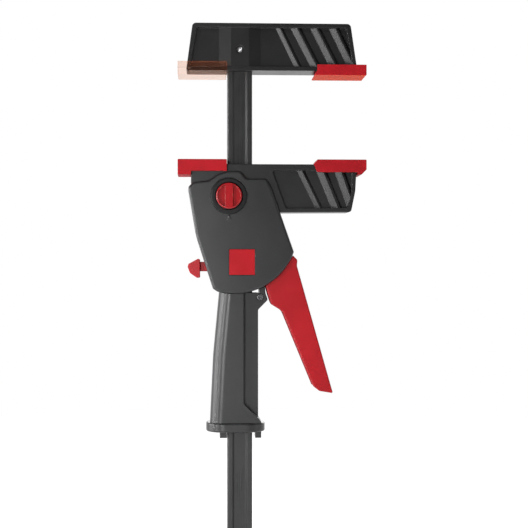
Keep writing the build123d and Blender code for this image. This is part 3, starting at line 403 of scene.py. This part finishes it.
@dataclass(frozen=True)
class SoftPad:
    """Red elastomer: matt, faintly mottled, dusted where it is handled, and painted paler on the
    face that looks up or down, as painted light.
    """

    name: str
    # which way the face with painted light looks: +1 up, -1 down
    works: float
    colour: Colour = (0.41, 0.006, 0.012)
    dust: Colour = (0.62, 0.11, 0.06)
    # the paler, more orange red of that face: painted light
    rubbed_and_highlight: Colour = (0.66, 0.050, 0.010)
    roughness: float = 0.60
    shine: float = 0.15
    skin: Grain = Grain(0.5, 4.0)
    cloud: Grain = Grain(12.0)
    dusting: Grain = Grain(1.6, reach=(0.40, 0.70))
    shade: float = 0.84
    dust_mm: float = 0.6
    dusty: float = 0.6
    cloud_rough: float = 0.14
    skin_rough: float = 0.10
    corner_mm: float = 0.5
    depth_mm: float = 0.02
    bump: float = 0.5

    def build(self) -> bpy.types.Material:
        """Build the material: the working face, up or down, is painted paler and more orange, as
        painted light.
        """
        g = Graph(self.name)
        skin = g.noise(self.skin)
        cloud = g.noise(self.cloud)
        colour = g.blend(cloud.between(*self.cloud.reach), scaled(self.colour, self.shade),
                         self.colour)
        # painted light: the face that looks up or down takes the paler red
        colour = g.blend(g.upright(self.works), colour, self.rubbed_and_highlight)
        dusty = g.edges(self.dust_mm) * g.patches(self.dusting) * self.dusty
        colour = g.blend(dusty, colour, self.dust)
        rough = self.roughness + cloud.sway(self.cloud_rough) + skin.sway(self.skin_rough)
        normal = g.bump(skin, self.depth_mm, self.bump, g.rounded(self.corner_mm))
        return g.close(g.principled(Base_Color=colour, Roughness=rough, Normal=normal,
                                    Specular_IOR_Level=self.shine))


@dataclass(frozen=True)
class ClearPad:
    """See-through reddish elastomer: it tints what is behind it, most along its edges."""

    name: str
    works: float
    colour: Colour = (0.48, 0.13, 0.045)
    tint: Colour = (0.975, 0.885, 0.840)
    cover: float = 0.05
    edge_cover: float = 0.50
    # more of the pad's own colour on the face that looks up or down: painted light
    lit_face_cover: float = 0.12
    cloud_cover: float = 0.02
    roughness: float = 0.24
    shine: float = 0.3
    skin: Grain = Grain(0.6)
    cloud: Grain = Grain(9.0)
    shade: float = 0.9
    edge_mm: float = 0.8
    cloud_rough: float = 0.06
    corner_mm: float = 0.5
    depth_mm: float = 0.006
    bump: float = 0.5

    def build(self) -> bpy.types.Material:
        """Build the material: a tinted film, covered in part by the pad's own colour, most on its
        edges and, as painted light, on the face that looks up or down.
        """
        g = Graph(self.name)
        cloud = g.noise(self.cloud)
        colour = g.blend(cloud.between(*self.cloud.reach), scaled(self.colour, self.shade),
                         self.colour)
        # the face that looks up or down shows more of the pad's colour: painted light
        cover = (self.cover + g.edges(self.edge_mm) * self.edge_cover
                 + g.upright(self.works) * self.lit_face_cover + cloud.sway(self.cloud_cover))
        rough = self.roughness + cloud.sway(self.cloud_rough)
        normal = g.bump(g.noise(self.skin), self.depth_mm, self.bump,
                        g.rounded(self.corner_mm))
        film = g.node("ShaderNodeBsdfTransparent", inputs={"Color": self.tint})
        skin = g.principled(Base_Color=colour, Roughness=rough, Normal=normal,
                            Specular_IOR_Level=self.shine)
        return g.close(g.node("ShaderNodeMixShader", inputs={0: cover, 1: film, 2: skin}))


@dataclass(frozen=True)
class Metal:
    """Steel fittings: plated, ground or drawn, by their roughness and grain."""

    name: str
    colour: Colour
    roughness: float
    line: Grain = Grain(0.3)
    cloud: Grain = Grain(5.0)
    shade: float = 0.72
    line_rough: float = 0.16
    cloud_rough: float = 0.10
    corner_mm: float = 0.2
    depth_mm: float = 0.006
    bump: float = 0.4

    def build(self) -> bpy.types.Material:
        """Build the material."""
        g = Graph(self.name)
        lines = g.noise(self.line)
        cloud = g.noise(self.cloud)
        colour = g.blend(cloud.between(*self.cloud.reach), scaled(self.colour, self.shade),
                         self.colour)
        rough = self.roughness + lines.sway(self.line_rough) + cloud.sway(self.cloud_rough)
        normal = g.bump(lines, self.depth_mm, self.bump, g.rounded(self.corner_mm))
        return g.close(g.principled(Base_Color=colour, Roughness=rough, Metallic=1.0,
                                    Normal=normal))


class Finish(Enum):
    """Every finish on the clamp."""

    CHARCOAL = Moulding("charcoal_moulding", (0.015, 0.015, 0.016), (0.11, 0.11, 0.115),
                        roughness=0.32, depth_mm=0.012, edge_mm=0.5)
    JAW = Moulding("jaw_moulding", (0.008, 0.008, 0.0085), (0.10, 0.10, 0.105),
                   roughness=0.37, depth_mm=0.012, edge_mm=0.6, shine=0.38)
    BLACK = Moulding("black_moulding", (0.006, 0.006, 0.0065), (0.07, 0.07, 0.075),
                     roughness=0.42, shine=0.20)
    RED = Moulding("red_moulding", (0.39, 0.005, 0.010), (0.54, 0.08, 0.055),
                   roughness=0.36, grain_mm=0.45, depth_mm=0.012, edge_mm=0.5, wear_and_highlight=0.35,
                   shine=0.25)
    # the knob's pale orange edges at full strength are a painted highlight on its ridge and rim
    KNOB_RED = Moulding("knob_red", (0.345, 0.004, 0.008), (0.86, 0.34, 0.22),
                        roughness=0.24, grain_mm=0.4, depth_mm=0.008, edge_mm=0.40, wear_and_highlight=1.0,
                        shine=0.35)
    ENAMEL = Moulding("inlay_enamel", (0.41, 0.006, 0.012), (0.58, 0.06, 0.06),
                      roughness=0.24, grain_mm=0.9, depth_mm=0.006, edge_mm=0.3, wear_and_highlight=0.2,
                      shine=0.3)
    BAR = DrawnBar()
    UPPER_PAD = SoftPad("upper_pad_red", works=-1.0)
    LOWER_PAD = SoftPad("lower_pad_red", works=1.0, colour=(0.375, 0.006, 0.012))
    CLEAR = ClearPad("pad_clear", works=-1.0)
    BRIGHT = Metal("bright_plate", (0.78, 0.78, 0.79), 0.20)
    OILED = Metal("oiled_steel", (0.11, 0.11, 0.115), 0.26)
    GROUND = Metal("ground_plate", (0.42, 0.42, 0.43), 0.36, Grain(0.3, stretch=(12.0, 1.0, 1.0)))
    WIRE = Metal("spring_wire", (0.50, 0.50, 0.52), 0.28)


class Paint:
    """Builds each finish once and gives it to pieces."""

    def __init__(self) -> None:
        """Start with nothing built."""
        self.built: dict[Finish, bpy.types.Material] = {}

    def on(self, piece: bpy.types.Object, finish: Finish) -> None:
        """Give a finish to a whole piece.

        Args:
            piece: a CAD node's object or a new piece.
            finish: the finish it gets.
        """
        if finish not in self.built:
            self.built[finish] = finish.value.build()
        material = self.built[finish]
        if not piece.material_slots:
            piece.data.materials.append(material)
        for slot in piece.material_slots:
            slot.material = material


# --------------------------------------------------------------------- modelling
class Bench:
    """The modelling moves, made with Blender's own operators.

    Sizes are in millimetres, as in the sub-assemblies, and angles that end in _deg in degrees.
    """

    @staticmethod
    def clear() -> None:
        """Deselect everything."""
        if bpy.context.object is not None and bpy.context.object.mode != "OBJECT":
            bpy.ops.object.mode_set(mode="OBJECT")
        bpy.ops.object.select_all(action="DESELECT")

    @staticmethod
    def take(piece: bpy.types.Object) -> None:
        """Make one piece the only one selected, and active."""
        Bench.clear()
        piece.select_set(True)
        bpy.context.view_layer.objects.active = piece

    @staticmethod
    def drum(name: str, centre: Point, radius: float, length: float, sides: int,
             open_ends: bool = False) -> bpy.types.Object:
        """A round bar along Y.

        Args:
            name: the piece's name.
            centre: its middle.
            radius: its radius.
            length: its length along Y.
            sides: how many sides it has.
            open_ends: leave the ends open.

        Returns:
            The new object.
        """
        Bench.clear()
        fill = "NOTHING" if open_ends else "NGON"
        bpy.ops.mesh.primitive_cylinder_add(vertices=sides, radius=radius * MM,
                                            depth=length * MM, end_fill_type=fill,
                                            location=metres(centre),
                                            rotation=(QUARTER_TURN, 0.0, 0.0))
        return Bench.named(name)

    @staticmethod
    def brick(name: str, centre: Point, size: Point, turn_deg: float = 0.0) -> bpy.types.Object:
        """A rectangular block, to be cut with or shaped.

        Args:
            name: the piece's name.
            centre: its middle.
            size: its size along X, Y and Z.
            turn_deg: how far it is turned about Y.

        Returns:
            The new object.
        """
        Bench.clear()
        bpy.ops.mesh.primitive_cube_add(size=1.0, location=metres(centre), scale=metres(size),
                                        rotation=(0.0, math.radians(turn_deg), 0.0))
        return Bench.named(name)

    @staticmethod
    def named(name: str) -> bpy.types.Object:
        """Name the primitive that was just added, and put its place into its mesh."""
        made = bpy.context.object
        made.name = name
        Bench.settle(made)
        return made

    @staticmethod
    def settle(piece: bpy.types.Object) -> None:
        """Put the object's place into its mesh."""
        Bench.take(piece)
        bpy.ops.object.transform_apply(location=True, rotation=True, scale=True)

    @staticmethod
    def pick(piece: bpy.types.Object, test: Callable[[Any], bool], kind: str = "FACE") -> None:
        """Enter edit mode with just the faces or points selected that pass a test.

        Args:
            piece: the piece to edit.
            test: says whether a face or point is wanted.
            kind: FACE or VERT.
        """
        Bench.take(piece)
        bpy.ops.object.mode_set(mode="EDIT")
        bpy.ops.mesh.select_mode(type=kind)
        bpy.ops.mesh.select_all(action="DESELECT")
        bpy.ops.object.mode_set(mode="OBJECT")
        for part in piece.data.polygons if kind == "FACE" else piece.data.vertices:
            part.select = test(part)
        bpy.ops.object.mode_set(mode="EDIT")

    @staticmethod
    def pick_all(piece: bpy.types.Object) -> None:
        """Enter edit mode with the whole mesh selected."""
        Bench.take(piece)
        bpy.ops.object.mode_set(mode="EDIT")
        bpy.ops.mesh.select_all(action="SELECT")

    @staticmethod
    def done(piece: bpy.types.Object, smooth_deg: float = 35.0) -> bpy.types.Object:
        """Leave edit mode and shade the piece smooth up to an angle."""
        Bench.take(piece)
        bpy.ops.object.shade_smooth_by_angle(angle=math.radians(smooth_deg))
        return piece

    @staticmethod
    def apply(piece: bpy.types.Object, kind: str, **settings: Any) -> None:
        """Add one modifier and apply it.

        Args:
            piece: the piece it works on.
            kind: the modifier's type.
            settings: the modifier's settings.
        """
        Bench.take(piece)
        modifier = piece.modifiers.new(kind.lower(), kind)
        for key, value in settings.items():
            setattr(modifier, key, value)
        bpy.ops.object.modifier_apply(modifier=modifier.name)

    @staticmethod
    def ease(piece: bpy.types.Object, width: float, above_deg: float, segments: int = 2) -> None:
        """Round the sharp edges of a piece.

        Args:
            piece: the piece.
            width: the width of the rounding.
            above_deg: the angle from which an edge is sharp.
            segments: how many faces the rounding has.
        """
        Bench.apply(piece, "BEVEL", width=width * MM, segments=segments, limit_method="ANGLE",
                    angle_limit=math.radians(above_deg))

    @staticmethod
    def cut(piece: bpy.types.Object, tools: Iterable[bpy.types.Object]) -> None:
        """Cut tools out of a piece, and throw the tools away."""
        for tool in tools:
            Bench.apply(piece, "BOOLEAN", operation="DIFFERENCE", solver="EXACT", object=tool)
            bpy.data.objects.remove(tool)

    @staticmethod
    def copy(piece: bpy.types.Object, move: Point) -> bpy.types.Object:
        """Copy a piece with its own mesh, and move the copy."""
        Bench.take(piece)
        bpy.ops.object.duplicate(linked=False)
        made = bpy.context.object
        bpy.ops.transform.translate(value=metres(move))
        Bench.settle(made)
        return made

    @staticmethod
    def join(pieces: list[bpy.types.Object], name: str) -> bpy.types.Object:
        """Join several pieces into the first."""
        Bench.clear()
        for piece in pieces:
            piece.select_set(True)
        bpy.context.view_layer.objects.active = pieces[0]
        bpy.ops.object.join()
        pieces[0].name = name
        return pieces[0]


@dataclass
class Dresser:
    """Finishes pieces: paint, body and what they stand for."""

    paint: Paint

    def node(self, name: str, finish: Finish) -> None:
        """Paint one CAD node."""
        self.paint.on(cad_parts[name], finish)
        LOG.info("node %s: %s", name, finish.name)

    def nodes(self, names: Iterable[str], finish: Finish) -> None:
        """Paint several CAD nodes alike."""
        for name in names:
            self.node(name, finish)

    def piece(self, made: bpy.types.Object, body: str, slot: str, finish: Finish,
              *stands_for: str) -> None:
        """Paint a new piece and give it its body.

        Args:
            made: the new piece.
            body: the CAD body that it rides on.
            slot: not used.
            finish: its finish.
            stands_for: the CAD nodes that it replaces.
        """
        self.paint.on(made, finish)
        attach(made, body)
        if stands_for:
            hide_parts(*stands_for)
        LOG.info("piece %s on %s: %s", made.name, body, finish.name)


@dataclass(frozen=True)
class Room:
    """The space that a CAD node takes, in millimetres."""

    low: Point
    high: Point

    @classmethod
    def of(cls, node: str) -> "Room":
        """The space of one node."""
        low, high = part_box(node)
        return cls(tuple(value / MM for value in low), tuple(value / MM for value in high))

    @property
    def middle(self) -> Point:
        """Its middle."""
        return tuple((a + b) / 2 for a, b in zip(self.low, self.high))

    @property
    def span(self) -> Point:
        """Its size."""
        return tuple(b - a for a, b in zip(self.low, self.high))


# ------------------------------------------------------------------ sub-assemblies
@dataclass(frozen=True)
class PanScrew:
    """A screw along Y with a domed head and a cross recess."""

    radius: float = 2.9
    height: float = 1.4
    recess_width: float = 0.8
    recess_length: float = 3.4
    recess_depth: float = 0.9
    recess_turn_deg: float = 20.0
    dome: float = 0.45
    dome_segments: int = 4
    rings: tuple[float, ...] = (0.35, 0.2)
    sides: int = 48
    shank_radius: float = 1.5
    shank_sides: int = 24
    shank_chamfer: float = 0.25
    sharp_deg: float = 60.0

    def build(self, name: str, x: float, z: float, y_face: float,
              y_end: float) -> bpy.types.Object:
        """Model one screw.

        Args:
            name: the piece's name.
            x: place of its axis along X.
            z: place of its axis along Z.
            y_face: where the top of the head is.
            y_end: where the shank ends.

        Returns:
            The screw.
        """
        out = math.copysign(1.0, y_face - y_end)
        head = Bench.drum(name, (x, y_face - out * self.height / 2, z), self.radius,
                          self.height, self.sides)
        Bench.pick(head, lambda face: face.normal.y * out > FACES_IT)
        for ring in self.rings:
            bpy.ops.mesh.inset(thickness=self.radius * ring * MM)
        Bench.done(head)
        Bench.ease(head, self.dome, self.sharp_deg, self.dome_segments)
        depth = self.recess_depth * 2
        Bench.cut(head, [Bench.brick("recess_tool", (x, y_face, z), size, self.recess_turn_deg)
                         for size in ((self.recess_length, depth, self.recess_width),
                                      (self.recess_width, depth, self.recess_length))])
        y_inner = y_face - out * self.height
        shank = Bench.drum(f"{name}_shank", (x, (y_inner + y_end) / 2, z), self.shank_radius,
                           abs(y_end - y_inner), self.shank_sides)
        Bench.ease(shank, self.shank_chamfer, self.sharp_deg)
        return Bench.done(Bench.join([head, shank], name))


@dataclass(frozen=True)
class SlottedPin:
    """A spring pin rolled from strip, with its slit to one side."""

    bore: float = 1.1
    slit: float = 0.5
    slit_turn_deg: float = -35.0
    chamfer: float = 0.15
    sides: int = 40
    tool_spare: float = 2.0
    tool_reach: float = 0.6
    sharp_deg: float = 50.0

    def build(self, node: str, name: str) -> bpy.types.Object:
        """Model the pin in place of a CAD node.

        Args:
            node: the CAD node that it stands for.
            name: the piece's name.

        Returns:
            The pin.
        """
        room = Room.of(node)
        (x, y, z), (width, length, _) = room.middle, room.span
        radius = width / 2
        wall = radius - self.bore
        tube = Bench.drum(name, (x, y, z), radius, length, self.sides, open_ends=True)
        Bench.apply(tube, "SOLIDIFY", thickness=wall * MM, offset=-1.0)
        slit = Bench.brick("slit_tool", (x + radius, y, z),
                           (2 * wall + self.tool_reach, length + self.tool_spare, self.slit),
                           self.slit_turn_deg)
        Bench.cut(tube, [slit])
        Bench.ease(tube, self.chamfer, self.sharp_deg)
        return Bench.done(tube)


@dataclass
class BarGroup:
    """The bar with its end cap, stop pin, fixed jaw and that jaw's pads."""

    dress: Dresser
    pin: SlottedPin = SlottedPin()

    def build(self) -> None:
        """Dress the whole group."""
        self.dress.node("bar", Finish.BAR)
        self.dress.node("bar_end_cap", Finish.BLACK)
        self.dress.node("fixed_jaw", Finish.JAW)
        self.dress.node("fixed_jaw_long_pad", Finish.UPPER_PAD)
        self.dress.node("fixed_jaw_short_pad", Finish.CLEAR)
        for node in ("fixed_jaw_pin", "bar_stop_pin"):
            self.dress.piece(self.pin.build(node, f"{node}_rolled"), "bar", "bright_steel",
                             Finish.BRIGHT, node)


@dataclass(frozen=True)
class BadgeShadowLine:
    """A thin black line let in round the plain inlay: painted shade for the shadow in the gap
    round it.
    """

    width: float = 0.30
    depth: float = 0.30
    proud: float = 0.06
    overlap: float = 0.01
    tool_depth: float = 4.0
    easing: float = 0.06
    sharp_deg: float = 50.0

    def build(self) -> bpy.types.Object:
        """Model the line.

        Returns:
            The line.
        """
        room = Room.of("badge_inlay")
        (x, _, z), (wide, _, tall), face = room.middle, room.span, room.low[1]
        outer = (wide + 2 * self.overlap, self.depth + self.proud, tall + 2 * self.overlap)
        shadow_line = Bench.brick("badge_shadow_line", (x, face + self.depth / 2, z), outer)
        Bench.pick(shadow_line, lambda side: side.normal.y < -FACES_IT)
        bpy.ops.mesh.inset(thickness=self.width * MM)
        Bench.done(shadow_line)
        inner = (wide - 2 * self.width, self.tool_depth, tall - 2 * self.width)
        Bench.cut(shadow_line, [Bench.brick("rim_tool", (x, face, z), inner)])
        Bench.ease(shadow_line, self.easing, self.sharp_deg)
        return Bench.done(shadow_line)


@dataclass(frozen=True)
class BezelLip:
    """A fine raised line on the cover round the knob's bezel, sloped inwards."""

    gap: float = 0.12
    width: float = 0.55
    proud: float = 0.40
    sunk: float = 0.20
    slope: float = 0.7
    sides: int = 96

    def build(self) -> bpy.types.Object:
        """Model the lip.

        Returns:
            The lip.
        """
        room = Room.of("selector_bezel")
        (x, _, z), face = room.middle, room.high[1]
        inner = room.span[0] / 2 + self.gap
        lip = Bench.drum("bezel_lip", (x, face + (self.sunk - self.proud) / 2, z), inner,
                         self.proud + self.sunk, self.sides, open_ends=True)
        Bench.apply(lip, "SOLIDIFY", thickness=self.width * MM, offset=1.0)
        reach = (inner + self.width / 2) * MM
        Bench.pick(lip, lambda point: point.co.y < face * MM
                   and math.hypot(point.co.x - x * MM, point.co.z - z * MM) < reach, "VERT")
        wider = 1.0 + self.slope * self.width / inner
        bpy.ops.transform.resize(value=(wider, 1.0, wider),
                                 center_override=metres((x, face - self.proud, z)))
        return Bench.done(lip)


@dataclass(frozen=True)
class PointerRidge:
    """The sharp ridge of the pointer under the knob."""

    place: Point = (-8.3, -15.6, 268.2)
    size: Point = (1.7, 0.45, 3.0)
    sunk: Range = (0.10, 0.05)
    crest: Range = (0.12, 0.7)
    smooth_deg: float = 20.0

    def build(self) -> bpy.types.Object:
        """Model the ridge.

        Returns:
            The ridge.
        """
        x, y, z = self.place
        wide, proud, tall = self.size
        foot, shift = self.sunk
        ridge = Bench.brick("pointer_ridge", (x, y - proud / 2 + shift, z),
                            (wide, proud + foot, tall))
        Bench.pick(ridge, lambda face: face.normal.y < -FACES_IT)
        bpy.ops.transform.resize(value=(self.crest[0], 1.0, self.crest[1]),
                                 center_override=metres((x, y - proud, z)))
        return Bench.done(ridge, self.smooth_deg)


@dataclass(frozen=True)
class CoilSpring:
    """A compression spring, coiled in place of its CAD node; it keeps its length when its joint
    moves.
    """

    node: str
    turns: int
    joint: str
    squeeze: float
    hangs: bool = False
    wire: float = 0.5
    sides: int = 12
    steps: int = 32
    smooth_deg: float = 40.0

    def build(self) -> bpy.types.Object:
        """Model the spring in place of its CAD node.

        Returns:
            The spring.
        """
        room = Room.of(self.node)
        (x, y, _), (width, _, tall) = room.middle, room.span
        Bench.clear()
        bpy.ops.mesh.primitive_circle_add(vertices=self.sides, radius=self.wire * MM,
                                          location=metres((x, y, room.low[2] + self.wire)),
                                          rotation=(QUARTER_TURN, 0.0, 0.0))
        coil = bpy.context.object
        coil.name = f"{self.node}_coil"
        bpy.ops.object.transform_apply(location=False, rotation=True, scale=True)
        Bench.pick_all(coil)
        bpy.ops.transform.translate(value=metres((width / 2 - self.wire, 0.0, 0.0)))
        Bench.apply(coil, "SCREW", axis="Z", angle=FULL_TURN, iterations=self.turns,
                    screw_offset=(tall - 2 * self.wire) * MM / self.turns,
                    steps=self.steps, render_steps=self.steps)
        Bench.settle(coil)
        Bench.pick_all(coil)
        bpy.ops.mesh.fill_holes(sides=0)
        bpy.ops.mesh.select_all(action="SELECT")
        bpy.ops.mesh.normals_make_consistent(inside=False)
        return Bench.done(coil, self.smooth_deg)

    def shorten(self, coil: bpy.types.Object) -> None:
        """Give the finished spring a mesh of its own."""
        low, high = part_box(self.node)
        keep = 1.0 - self.squeeze / Room.of(self.node).span[2]
        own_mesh(coil)


@dataclass
class Carriage:
    """The sliding frame, its covers, pads, guides, springs and grip."""

    dress: Dresser
    springs: tuple[CoilSpring, ...] = (
        CoilSpring("clamp_drive_spring", 4, "clamp_plate_stroke", 6.5),
        CoilSpring("spread_drive_spring", 3, "spread_plate_stroke", 5.9, hangs=True),
        CoilSpring("clamp_brake_spring", 2, "release_press", 2.4),
        CoilSpring("spread_brake_spring", 2, "spread_brake_tilt", 1.5, hangs=True),
    )
    cover_screw: PanScrew = PanScrew()
    cover_screw_places: tuple[Range, ...] = ((-31.0, 284.5), (18.4, 286.4), (-14.2, 218.2),
                                             (33.2, 246.5))
    grip_screw: PanScrew = PanScrew(radius=2.6, height=1.6, recess_width=0.7,
                                    recess_length=3.0, recess_depth=0.8, dome=0.4,
                                    shank_radius=1.7)

    def build(self) -> None:
        """Dress the whole carriage."""
        self.dress.node("sliding_jaw", Finish.JAW)
        self.dress.nodes(("front_cover", "back_cover", "grip_front_shell", "grip_back_shell",
                          "grip_collar"), Finish.CHARCOAL)
        self.dress.nodes(("upper_bar_guide", "lower_bar_guide", "selector_bezel"), Finish.BLACK)
        self.dress.nodes(("sliding_jaw_long_pad", "sliding_jaw_short_pad"), Finish.LOWER_PAD)
        for spring in self.springs:
            coil = spring.build()
            self.dress.piece(coil, "carriage", "spring_steel", Finish.WIRE, spring.node)
            spring.shorten(coil)
        self.dress.node("lever_pivots", Finish.BRIGHT)
        self.dress.node("badge_inlay", Finish.ENAMEL)
        # the black line round the inlay is painted shade
        self.dress.piece(BadgeShadowLine().build(), "carriage", "black_plastic", Finish.BLACK)
        for fine in (BezelLip(), PointerRidge()):
            self.dress.piece(fine.build(), "carriage", "charcoal_plastic", Finish.CHARCOAL)
        self.screws()

    def screws(self) -> None:
        """Model the four cover screws, put in from the back, and the grip's screw."""
        room = Room.of("cover_screws")
        x, z = self.cover_screw_places[0]
        first = self.cover_screw.build("cover_screw", x, z, room.high[1], room.low[1])
        copies = [Bench.copy(first, (other_x - x, 0.0, other_z - z))
                  for other_x, other_z in self.cover_screw_places[1:]]
        joined = Bench.done(Bench.join([first, *copies], "cover_screw_set"))
        self.dress.piece(joined, "carriage", "bright_steel", Finish.BRIGHT, "cover_screws")
        room = Room.of("grip_screw")
        x, _, z = room.middle
        screw = self.grip_screw.build("grip_screw_cross", x, z, room.low[1], room.high[1])
        self.dress.piece(screw, "carriage", "bright_steel", Finish.OILED, "grip_screw")


@dataclass
class Mechanism:
    """Lever, jam plates, release button and selector."""

    dress: Dresser

    def build(self) -> None:
        """Dress the moving pieces."""
        self.dress.nodes(("lever", "release_button"), Finish.RED)
        self.dress.node("lever_noses", Finish.BRIGHT)
        self.dress.node("selector_knob", Finish.KNOB_RED)
        self.dress.nodes(("clamp_drive_plate", "spread_drive_plate", "clamp_brake_plate",
                          "spread_brake_plate"), Finish.GROUND)


# ---------------------------------------------------------------------- the studio
@dataclass(frozen=True)
class Lamp:
    """One soft rectangular light: its place and size are in metres."""

    name: str
    place: Point
    size: Range
    watts: float

    def build(self, target: Vector) -> None:
        """Hang the lamp and aim it."""
        data = bpy.data.lights.new(self.name, "AREA")
        data.shape = "RECTANGLE"
        data.size, data.size_y = self.size
        data.energy = self.watts
        lamp = bpy.data.objects.new(self.name, data)
        bpy.context.scene.collection.objects.link(lamp)
        lamp.location = self.place
        lamp.visible_camera = False
        lamp.rotation_euler = (target - Vector(self.place)).to_track_quat("-Z", "Y").to_euler()


@dataclass
class Studio:
    """Camera, floor, world and lamps."""

    aim: Point = (17.8, -15.0, 233.4)
    distance: float = 950.0
    azimuth_deg: float = -2.7
    view_mm: float = 393.7
    sensor_mm: float = 36.0
    clip_m: Range = (0.05, 60.0)
    floor_side_m: float = 12.0
    floor_colour: Colour = (0.82, 0.82, 0.82)
    floor_glow: float = 0.74
    floor_fade: Range = (0.35, 1.1)
    room_light: float = 0.10
    sweep_from: Range = (-0.3, 0.4)
    lamps: tuple[Lamp, ...] = (
        Lamp("key_left", (-0.54, -0.45, 0.25), (0.10, 0.42), 2.2),
        Lamp("side_left", (-0.68, 0.06, 0.28), (0.34, 0.50), 3.0),
        Lamp("edge_left", (-0.62, -0.17, 0.28), (0.012, 0.46), 2.1),
        Lamp("front_left", (-0.19, -0.66, 0.21), (0.12, 0.30), 2.0),
        Lamp("front_top", (0.0, -0.90, 1.15), (0.90, 0.12), 2.0),
        Lamp("fill_right", (1.10, -0.45, 0.40), (0.60, 0.90), 2.4),
        Lamp("back_fill", (0.45, 1.20, 0.70), (1.20, 0.90), 9.0),
    )

    @staticmethod
    def shown(g: Graph, mirrored: Union[float, Signal] = 1.0) -> Signal:
        """A switch that is 1 where the background is seen, mirrored or looked through to.

        Args:
            g: the tree that it is made in.
            mirrored: how much of it a mirror shows.

        Returns:
            The switch.
        """
        camera, through, mirror = (g.node("ShaderNodeLightPath", output=f"Is {ray} Ray")
                                   for ray in ("Camera", "Transmission", "Glossy"))
        return camera.larger(through).larger(mirror * mirrored)

    def camera(self) -> None:
        """Set up the camera, level with what it is aimed at."""
        data = bpy.data.cameras.new("camera")
        data.sensor_width = self.sensor_mm
        data.angle = 2 * math.atan(self.view_mm / 2 / self.distance)
        data.clip_start, data.clip_end = self.clip_m
        camera = bpy.data.objects.new("camera", data)
        bpy.context.scene.collection.objects.link(camera)
        turn = math.radians(self.azimuth_deg)
        back = Vector((math.sin(turn), -math.cos(turn), 0.0))
        camera.location = Vector(self.aim) * MM + back * self.distance * MM
        camera.rotation_euler = (-back).to_track_quat("-Z", "Y").to_euler()
        bpy.context.scene.camera = camera

    def floor(self) -> None:
        """Lay a white floor that keeps the object's shadow and fades into the background."""
        Bench.clear()
        bpy.ops.mesh.primitive_plane_add(size=self.floor_side_m)
        floor = bpy.context.object
        floor.name = "floor"
        g = Graph("floor_white")
        shown = self.shown(g)
        reach = g.node("ShaderNodeVectorMath", {"operation": "LENGTH"}, {0: g.place}, "Value")
        matt = g.node("ShaderNodeBsdfDiffuse", inputs={"Color": self.floor_colour})
        glow = g.node("ShaderNodeEmission", inputs={"Strength": shown * self.floor_glow})
        near = g.node("ShaderNodeAddShader", inputs={0: matt, 1: glow})
        white = g.node("ShaderNodeEmission", inputs={"Strength": 1.0})
        far = shown * reach.between(*self.floor_fade)
        floor.data.materials.append(
            g.close(g.node("ShaderNodeMixShader", inputs={0: far, 1: near, 2: white})))

    def world(self) -> None:
        """Fill the room with dim light, and hang a white sweep behind the clamp.

        The sweep is mirrored only where it hangs. The room in front of it is dark.
        """
        world = bpy.data.worlds.new("studio")
        bpy.context.scene.world = world
        g = Graph("room", world)
        way = g.node("ShaderNodeTexCoord", output="Generated")
        across = g.node("ShaderNodeSeparateXYZ", inputs={"Vector": way}, output="Y")
        white = self.shown(g, across.between(*self.sweep_from))
        strength = self.room_light + (1.0 - self.room_light) * white
        g.close(g.node("ShaderNodeBackground",
                       inputs={"Color": (1.0, 1.0, 1.0), "Strength": strength}))

    def build(self) -> None:
        """Set up the whole studio."""
        self.camera()
        self.floor()
        self.world()
        for lamp in self.lamps:
            lamp.build(Vector(self.aim) * MM)
        bpy.context.scene.view_settings.view_transform = "Standard"
        LOG.info("studio: %d lamps", len(self.lamps))


def main() -> None:
    """Build the studio and dress every sub-assembly in order."""
    logging.basicConfig(level=logging.INFO, format="%(message)s")
    Studio().build()
    dress = Dresser(Paint())
    BarGroup(dress).build()
    Carriage(dress).build()
    Mechanism(dress).build()


if __name__ == "__main__":
    main()
